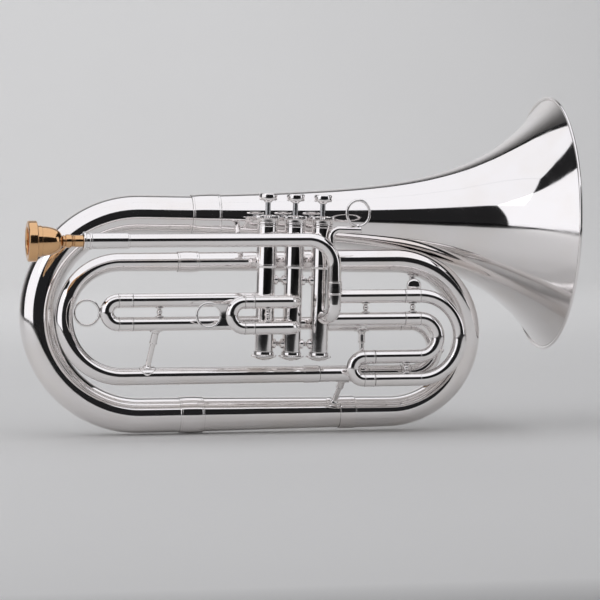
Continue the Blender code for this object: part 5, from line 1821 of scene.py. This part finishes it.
@dataclass
class ThirdSlide(SubAssembly):
    """The doubled-back slide out of the third valve: two bows, a return bow and their braces."""

    height: float = -0.0492
    radius: float = 0.00675
    outer: float = 0.041
    inner: float = 0.0186
    sleeve_reach: float = 0.0862
    turn: float = 0.1017
    return_reach: float = 0.0453
    joint: float = 0.0560
    leg: float = 0.056
    line: Profile = ((-0.4, 0.0), (0.0, 0.2), (1.0, 0.2), (1.4, 0.0))
    sleeve_brace: float = 0.0470
    bow_brace: float = 0.0945
    return_brace: float = 0.0880

    def build(self) -> None:
        """Builds the sleeves, the bows and the braces."""
        s = self.sizes
        centre = s.valve_point(3, self.height)
        for label, bend in (("outer", self.outer), ("inner", self.inner)):
            start = centre + Z_AXIS * bend
            ends = [start, start + X_AXIS * self.sleeve_reach]
            self.sleeve(f"third_sleeve_{label}", ends, self.radius, valve=3)
            self.silver(self.bow(centre, bend), f"third_bow_{label}", Body.THIRD_SLIDE)
        middle = centre - Z_AXIS * (self.outer + self.inner) / 2
        gauge, reach = self.outer - self.inner, -self.return_reach
        back = self.crook(-1, middle, gauge, self.radius, -self.joint, reach, s.spigot)
        self.silver(back, "third_return_bow", Body.THIRD_SLIDE)
        spots = (
            (self.sleeve_brace, self.inner, self.outer, 0.0, "third_sleeve_brace", Body.HORN),
            (self.bow_brace, self.inner, self.outer, s.band_rise, "third_bow_brace", Body.THIRD_SLIDE),
            (self.return_brace, -self.outer, -self.inner, 0.0, "third_return_brace", Body.THIRD_SLIDE),
        )
        for reach, low, high, rise, node, body in spots:
            foot, away = centre + X_AXIS * reach, self.radius + rise
            piece = self.pillar(foot + Z_AXIS * (low + away), foot + Z_AXIS * (high - away))
            self.silver(piece, node, body)

    def bow(self, centre: Vector, bend: float) -> Piece:
        """One bow: a leg in its sleeve, a lined ferrule, the bend and a run back.

        Args:
            centre: The middle of the slide at its zero reach.
            bend: The bow's radius.

        Returns:
            The piece.
        """
        s, far = self.sizes, self.turn + bend
        ends = ((self.sleeve_reach - self.leg, bend), (far, bend), (far, -bend), (self.joint + s.gap, -bend))
        route = Route([centre + Vector((x, 0, z)) for x, z in ends], [bend, bend])
        line = trace(self.line, route.length - (self.turn - self.joint), self.radius)
        knots = self.slide_end(self.radius, self.leg, self.turn - self.sleeve_reach)
        knots += bored([*line, (route.length, self.radius)], self.radius - s.tube_wall)
        return self.bench.tube(route, knots)


@dataclass
class Fittings(SubAssembly):
    """The finger ring and the long stays."""

    bell: BellAndBows
    first: FirstSlide
    rod_radius: float = 0.0034
    rod_foot: float = 0.024
    rod_top: float = 0.0590
    rod_reach: float = 0.0330
    rod_bend: float = 0.0085
    rod_angle: float = math.radians(-62)
    rod_edge: float = 0.0009
    ring_radius: float = 0.0140
    ring_sink: float = 0.0012
    ring_turn: float = math.radians(-16)
    leaf: Profile = ((-1.0, 0.0), (-1.0, 2.6), (0.8, 2.4), (2.2, 1.3), (3.0, 0.0))
    first_stay_x: float = -0.134
    first_stay_foot: float = -0.143
    first_stay_sink: float = 0.0004
    bottom_stay_x: float = 0.056
    bottom_stay_foot: float = 0.049
    bottom_stay_rise: float = 0.0002
    leadpipe_stay_x: float = -0.045
    stay_drop: float = 0.002
    stay_bend: float = 0.010
    stay_foot: float = 0.0046
    stay_socket: Profile = ((-1.0, 0.0), (-1.0, 4.4), (0.8, 4.4), (2.0, 3.6))
    socket_lip: Profile = ((21.0, 3.6), (21.3, 4.0), (22.2, 4.0), (22.6, 0.0))

    def build(self) -> None:
        """Builds the finger ring and the stays."""
        s = self.sizes
        self.finger_ring()
        start = Vector((self.first_stay_x, 0, self.first.height - self.first.gauge / 2))
        end = Vector((self.first_stay_foot, s.tuning_side, s.tuning_lower))
        stay = self.post(start, self.first.radius, end, s.inner_radius - self.first_stay_sink)
        self.silver(stay, "first_stay")
        start = Vector((self.bottom_stay_x, s.tuning_side, s.tuning_lower))
        end = Vector((self.bottom_stay_foot, s.bottom_side, s.bottom_height))
        branch = self.bell.bottom_end_radius + self.bottom_stay_rise
        self.silver(self.post(start, s.tuning_radius, end, branch), "bottom_stay")
        self.leadpipe_stay()

    def leadpipe_stay(self) -> None:
        """A bent rod that runs straight back from the leadpipe and turns up to the bell's underside."""
        s, x = self.sizes, self.leadpipe_stay_x
        pipe, pipe_radius = Vector((x, -s.leadpipe_side, s.leadpipe_height)), s.leadpipe_radius
        back = (self.bell.rim_x - x) / math.cos(self.bell.pitch)
        bell, bell_radius = self.bell.axis_point(back), self.bell.radius_at(back)
        start = pipe - Z_AXIS * self.stay_drop
        route = Route([start, (x, bell.y, start.z), bell], [self.stay_bend])
        rod = self.bench.rod(route, s.stay_radius)
        outline = trace(self.stay_socket + self.socket_lip, pipe_radius)
        socket = self.bench.solid(outline, edge=SOFT_EDGE, at=stand(start, Y_AXIS))
        cuts = ((rod, pipe, pipe_radius), (rod, bell, bell_radius), (socket, pipe, pipe_radius))
        for piece, spot, radius in cuts:
            reach = radius - s.gap
            self.bench.cut(piece, self.bench.drum((-reach, reach), reach, Matrix.Translation(spot)))
        toward = Vector((0, math.sqrt(pipe_radius**2 - self.stay_drop**2), -self.stay_drop))
        landing = min(route.points, key=lambda point: abs((point - bell).length - bell_radius))
        feet = [self.saddle(pipe, toward, pipe_radius, self.stay_foot)]
        feet.append(self.saddle(bell, landing - bell, bell_radius))
        self.silver(self.bench.join(rod, socket, *feet), "leadpipe_stay")

    def finger_ring(self) -> None:
        """A bent rod beside the third casing, with a ring standing on its end."""
        s = self.sizes
        up, across = s.valve_up(), s.valve_across()
        away = s.head_radius + s.gap + self.rod_radius
        right, aside = away * math.cos(self.rod_angle), away * math.sin(self.rod_angle)
        foot = s.valve_foot(3) + Y_AXIS * aside
        top = foot + up * self.rod_top
        tip = self.rod_reach + self.rod_radius
        corners = [foot + across * right + up * self.rod_foot, top + across * right, top + across * tip]
        route = Route(corners, [self.rod_bend])
        rod = self.bench.rod(route, self.rod_radius, edge=self.rod_edge)
        seat = top + across * self.rod_reach + up * self.rod_radius
        facing = across * math.sin(self.ring_turn) + Y_AXIS * math.cos(self.ring_turn)
        middle = seat + up * (self.ring_radius - self.ring_sink)
        ring = self.bench.hoop(self.ring_radius, s.ring_wire, stand(middle, facing))
        leaf = self.bench.solid(trace(self.leaf), Sides.SMALL, LEAF_EDGE, stand(seat, up))
        self.silver(self.bench.join(rod, ring, leaf), "finger_ring")


@dataclass
class WaterKey(SubAssembly):
    """The sprung key on the inside of the right bow.

    Attributes:
        frame: The key's own frame on its pivot, with Y along the pin and Z into the bow's opening.
        upright: A frame with its X up the key's Z.
    """

    bell: BellAndBows
    pivot: Vector
    pin: Vector
    pivot_height: float = 0.0062
    cup_reach: float = 0.0145
    paddle_reach: float = 0.0185
    paddle_rise: float = 0.0048
    width: float = 0.0046
    beam: float = 0.0014
    beam_rise: float = 0.0020
    beam_edge: float = 0.0006
    hub_radius: float = 0.0026
    pin_reach: float = 0.0048
    pin_radius: float = 0.0010
    pin_edge: float = 0.0003
    ear: float = 0.0014
    ear_width: float = 0.0048
    ear_sink: float = 0.0010
    ear_edge: float = 0.0002
    base: float = 0.0012
    nipple: Turning = Turning(
        ((-8.2, 1.8), (-8.2, 4.4), (-5.6, 4.2), (-5.2, 3.6), (-2.4, 3.6), (-1.8, 3.0), (-1.8, 1.8)), Sides.CUP
    )
    cork: Turning = Turning(((-1.5, 0.0), (-1.5, 3.6), (-0.1, 3.6), (-0.1, 0.0)), Sides.PIN)
    cup: Turning = Turning(
        ((0.2, 0.0), (0.2, 3.9), (-1.0, 3.9), (-1.0, 4.6), (-0.4, 4.6), (0.6, 3.956), (1.4, 2.3), (2.0, 0.0)),
        Sides.CUP,
    )
    paddle: Profile = ((4.1, 0.0), (4.1, 4.5), (5.5, 4.5), (5.22, 2.25), (5.15, 0.0))
    spring_wire: float = 0.00025
    spring_rise: float = 0.0004
    spring_turns: int = 2
    spring_tail: tuple[float, float] = (0.6, 0.75)
    frame: Matrix = field(init=False)
    upright: Matrix = field(init=False)

    def __post_init__(self) -> None:
        """Works out the key's frame."""
        s = self.sizes
        _, bend = self.bell.right_route()
        side, height = (s.inner_side + s.bottom_side) / 2, (s.inner_height + s.bottom_height) / 2
        up = (Vector((self.bell.right_x - bend, side, height)) - self.pivot).normalized()
        across = self.pin.normalized()
        along = across.cross(up).normalized()
        self.frame = Matrix.Translation(self.pivot) @ Matrix((along, across, up)).transposed().to_4x4()
        self.upright = stand((0, 0, 0), Z_AXIS, X_AXIS)

    def build(self) -> None:
        """Builds the nipple, saddle, pin, lever, cork and spring."""
        bench, steel, cup = self.bench, self.bench.finishes.steel, self.frame @ self.cup_frame()
        self.silver(bench.lathe(self.nipple, cup), "water_key_nipple")
        self.saddle_block()
        ends, at = (-self.pin_reach, self.pin_reach), self.frame @ stand((0, 0, 0), Y_AXIS)
        pin = bench.drum(ends, self.pin_radius, at, Sides.SMALL, self.pin_edge)
        bench.dress(pin, "water_key_pin", Body.HORN, steel)
        self.lever()
        bench.dress(bench.lathe(self.cork, cup), "water_key_cork", Body.WATER_KEY, bench.finishes.cork)
        bench.trim(self.spring(), "water_key_spring", Body.HORN, steel)

    def cup_frame(self) -> Matrix:
        """The frame of the cup, standing on the nipple."""
        return Matrix.Translation((-self.cup_reach, 0, 0)) @ self.upright

    def saddle_block(self) -> None:
        """Two rounded ears on a foot that carry the pin."""
        bench, half, edge = self.bench, self.ear_width / 2, self.ear_edge
        inner = self.width / 2 + self.sizes.gap
        outer, floor = inner + self.ear, -self.pivot_height - self.ear_sink
        foot = bench.block((-half, -outer, floor), (half, outer, self.base - self.pivot_height), edge)
        ears = []
        for low, high in ((-outer, -inner), (inner, outer)):
            ears.append(bench.block((-half, low, floor), (half, high, 0.0), edge))
            ears.append(bench.drum((low, high), half, stand((0, 0, 0), Y_AXIS), Sides.CUP, EDGE))
        self.silver(bench.place(bench.join(foot, *ears), self.frame), "water_key_saddle")

    def lever(self) -> None:
        """The lever's hub, beam, cup and thumb paddle."""
        bench, half = self.bench, self.width / 2
        hub = bench.drum((-half, half), self.hub_radius, stand((0, 0, 0), Y_AXIS), Sides.PIN, EDGE)
        spots = ((-self.cup_reach, self.beam_rise), (0.0, self.beam), (self.paddle_reach, self.paddle_rise))
        route = Route([(x, 0, z) for x, z in spots], [self.paddle_reach])
        beam = bench.rod(route, self.beam, Sides.SMALL, self.beam_edge)
        at = Matrix.Translation((self.paddle_reach, 0, 0)) @ self.upright
        paddle = bench.solid(trace(self.paddle), Sides.CUP, LEAF_EDGE, at)
        piece = bench.join(hub, beam, bench.lathe(self.cup, self.cup_frame()), paddle)
        self.silver(bench.place(piece, self.frame), "water_key_lever", Body.WATER_KEY)

    def spring(self) -> Piece:
        """The wire spring: two coils on the pin and a tail along the beam.

        Returns:
            The piece.
        """
        coil, wire, side = self.hub_radius + self.spring_rise, self.spring_wire, -self.width / 2
        coils = helix(coil, side - SLACK / 2, side + SLACK / 2, self.spring_turns)
        points = [Vector((point.y, point.x, point.z)) for point in coils]
        out, down = self.spring_tail
        points.append(Vector((coil * out, points[-1].y, -self.pivot_height * down)))
        route = Route(points, [0.0] * (len(points) - 2))
        return self.bench.place(self.bench.rod(route, wire, Sides.HAIR, wire / 2), self.frame)


@dataclass
class LyreHolder(SubAssembly):
    """The socket for a music holder under the right bow, with its thumb screw."""

    spot: Vector
    block: float = 0.0095
    block_edge: float = 0.0010
    depth: float = 0.0110
    drop: float = 0.0105
    slot: float = 0.0044
    neck_root: Profile = ((-1.0, 0.0), (-1.0, 4.4), (0.6, 3.2))
    neck_foot: Profile = ((-1.2, 3.2), (-0.2, 4.8), (1.0, 4.8), (1.0, 0.0))
    screw_radius: float = 0.0076
    screw_rim: float = 0.0018
    screw_dome: float = 0.0022
    screw_chamfer: Profile = ((0.0, -0.4), (0.3, 0.0))
    dome_step: Profile = ((0.3, -0.4),)
    knurl_depth: float = 0.0004
    shank: float = 0.0020

    def build(self) -> None:
        """Builds the socket and the screw."""
        half, depth, slot = self.block / 2, self.depth / 2, self.slot / 2
        body = self.bench.block((-half, -depth, -half), (half, depth, half), self.block_edge)
        gate = self.bench.block((-self.block, -slot, -slot), (self.block, slot, slot), 0.0)
        self.bench.cut(body, gate)
        outline = trace(self.neck_root, half) + trace(self.neck_foot, self.drop)
        at = stand((0, 0, 0), Z_AXIS, X_AXIS)
        neck = self.bench.solid(outline, Sides.PIN, SOFT_EDGE, at)
        socket = self.bench.place(self.bench.join(body, neck), Matrix.Translation(self.spot))
        self.silver(socket, "lyre_socket")
        front, wide = depth + self.sizes.gap, self.screw_radius
        face = front + self.screw_rim
        outline = [(slot, 0.0), (slot, self.shank), (front, self.shank)]
        outline += [*trace(self.screw_chamfer, front, wide), (face, wide)]
        ((foot, dome),) = trace(self.dome_step, face, wide)
        for angle in (0.0, *arc(12)):
            outline.append((foot + self.screw_dome * math.sin(angle), dome * math.cos(angle)))
        screw = self.bench.solid(outline, Sides.KNURLED)
        self.bench.knurl(screw, front, face, wide, self.knurl_depth)
        self.bench.place(screw, stand(self.spot, -Y_AXIS))
        self.silver(screw, "lyre_screw", Body.LYRE_SCREW)


@dataclass(frozen=True)
class SoftBox:
    """A soft lamp.

    Attributes:
        name: The lamp's name.
        spot: Where it hangs.
        size: Its width and height.
        glow: How bright its face looks, where 1 is white.
        aim: The point that it faces.
        colour: The colour of its light.
    """

    name: str
    spot: tuple[float, float, float]
    size: tuple[float, float]
    glow: float
    aim: tuple[float, float, float] = (0.0, 0.0, 0.0)
    colour: tuple[float, float, float] = (0.98, 0.985, 1.02)

    def hang(self) -> None:
        """Hangs the lamp."""
        data = bpy.data.lights.new(self.name, "AREA")
        data.shape = "RECTANGLE"
        data.size, data.size_y = self.size
        data.energy = self.glow * math.pi * data.size * data.size_y
        data.color = self.colour
        lamp = bpy.data.objects.new(self.name, data)
        turn = (Vector(self.aim) - Vector(self.spot)).to_track_quat("-Z", "Y")
        lamp.matrix_world = Matrix.Translation(self.spot) @ turn.to_matrix().to_4x4()
        bpy.context.collection.objects.link(lamp)


@dataclass
class Studio:
    """A pale floor that curves up into a backdrop, soft lamps and the camera."""

    bench: Bench
    floor: float = -0.1452
    half_width: float = 12.0
    front: float = -9.0
    back: float = 3.6
    sweep: float = 1.2
    top: float = 5.0
    yaw: float = math.radians(12)
    elevation: float = math.radians(2.5)
    distance: float = 2.928
    shift_right: float = 0.00683
    shift_down: float = 0.01122
    lens: float = 180.0
    sensor: float = 36.0
    far_clip: float = 50.0
    room: Colour = (0.015, 0.015, 0.016, 1)
    boxes: tuple[SoftBox, ...] = (
        SoftBox("front_box", (-0.3, -1.05, 1.716), (4.4, 1.62), 0.95, (-0.3, 0.13, 0.10)),
        SoftBox("ceiling", (-0.3, 0.71, 2.194), (4.4, 2.2), 0.95, (-0.3, 0.71, 0.0)),
        SoftBox("left_box", (-1.99, -0.68, 0.60), (2.4, 1.4), 1.0),
        SoftBox("right_box", (1.9, -0.9, 0.55), (0.7, 1.3), 1.0),
        SoftBox("back_box", (0.0, 2.4, 2.6), (6.0, 1.2), 3.4, (0.0, 4.8, 0.6)),
    )

    def build(self) -> None:
        """Builds the stage."""
        bpy.context.scene.view_settings.view_transform = "Standard"
        self.cove()
        self.camera()
        for box in self.boxes:
            box.hang()
        self.world()

    def cove(self) -> None:
        """The floor and the backdrop in one smooth sweep."""
        line = [(self.front, self.floor), (self.back, self.floor)]
        for angle in arc(24):
            rise = self.sweep * (1 - math.cos(angle))
            line.append((self.back + self.sweep * math.sin(angle), self.floor + rise))
        line.append((self.back + self.sweep, self.top))
        edge = self.bench.wire([(-self.half_width, y, z) for y, z in line], closed=False)
        piece = self.bench.sheet(edge, X_AXIS * 2 * self.half_width, filled=False)
        piece.name = "studio_floor"
        self.bench.take(piece)
        bpy.ops.object.shade_smooth_by_angle(angle=SMOOTH)
        piece.data.materials.append(StudioPaint().make())

    def camera(self) -> None:
        """The camera at the photograph's angle."""
        yaw, rise = self.yaw, self.elevation
        right = Vector((math.cos(yaw), -math.sin(yaw), 0))
        ahead = Vector((math.sin(yaw) * math.cos(rise), math.cos(yaw) * math.cos(rise), -math.sin(rise)))
        up = right.cross(ahead)
        target = right * self.shift_right - up * self.shift_down
        data = bpy.data.cameras.new("view")
        data.lens = self.lens
        data.sensor_width = self.sensor
        data.clip_end = self.far_clip
        camera = bpy.data.objects.new("view", data)
        turn = Matrix((right, up, -ahead)).transposed().to_4x4()
        camera.matrix_world = Matrix.Translation(target - ahead * self.distance) @ turn
        bpy.context.collection.objects.link(camera)
        bpy.context.scene.camera = camera

    def world(self) -> None:
        """A dim grey room around the stage."""
        world = bpy.data.worlds.new("room")
        bpy.context.scene.world = world
        world.use_nodes = True
        sheet = NodeSheet(world.node_tree)
        room = sheet.node("ShaderNodeBackground", {}, {"Color": self.room, "Strength": 1.0})
        sheet.node("ShaderNodeOutputWorld", {}, {"Surface": room})


def main() -> None:
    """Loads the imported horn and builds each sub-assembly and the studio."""
    logging.basicConfig(level=logging.INFO, format="%(message)s")
    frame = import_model()
    joints = {joint["name"]: joint for joint in frame["joints"]}
    bench = Bench(Finishes())
    sizes = HornSizes()
    bell, first = BellAndBows(bench, sizes), FirstSlide(bench, sizes)
    key, lyre = joints["open_water_key"], joints["turn_lyre_screw"]
    groups = (
        bell,
        ValveCluster(bench, sizes),
        Mouthpipe(bench, sizes),
        TuningSlide(bench, sizes),
        first,
        SecondSlide(bench, sizes),
        ThirdSlide(bench, sizes),
        Fittings(bench, sizes, bell, first),
        WaterKey(bench, sizes, bell, Vector(key["pos_m"]), Vector(key["axis"])),
        LyreHolder(bench, sizes, Vector(lyre["pos_m"])),
    )
    for group in groups:
        group.build()
        LOG.info("%s is done", type(group).__name__)
    Studio(bench).build()


if __name__ == "__main__":
    main()
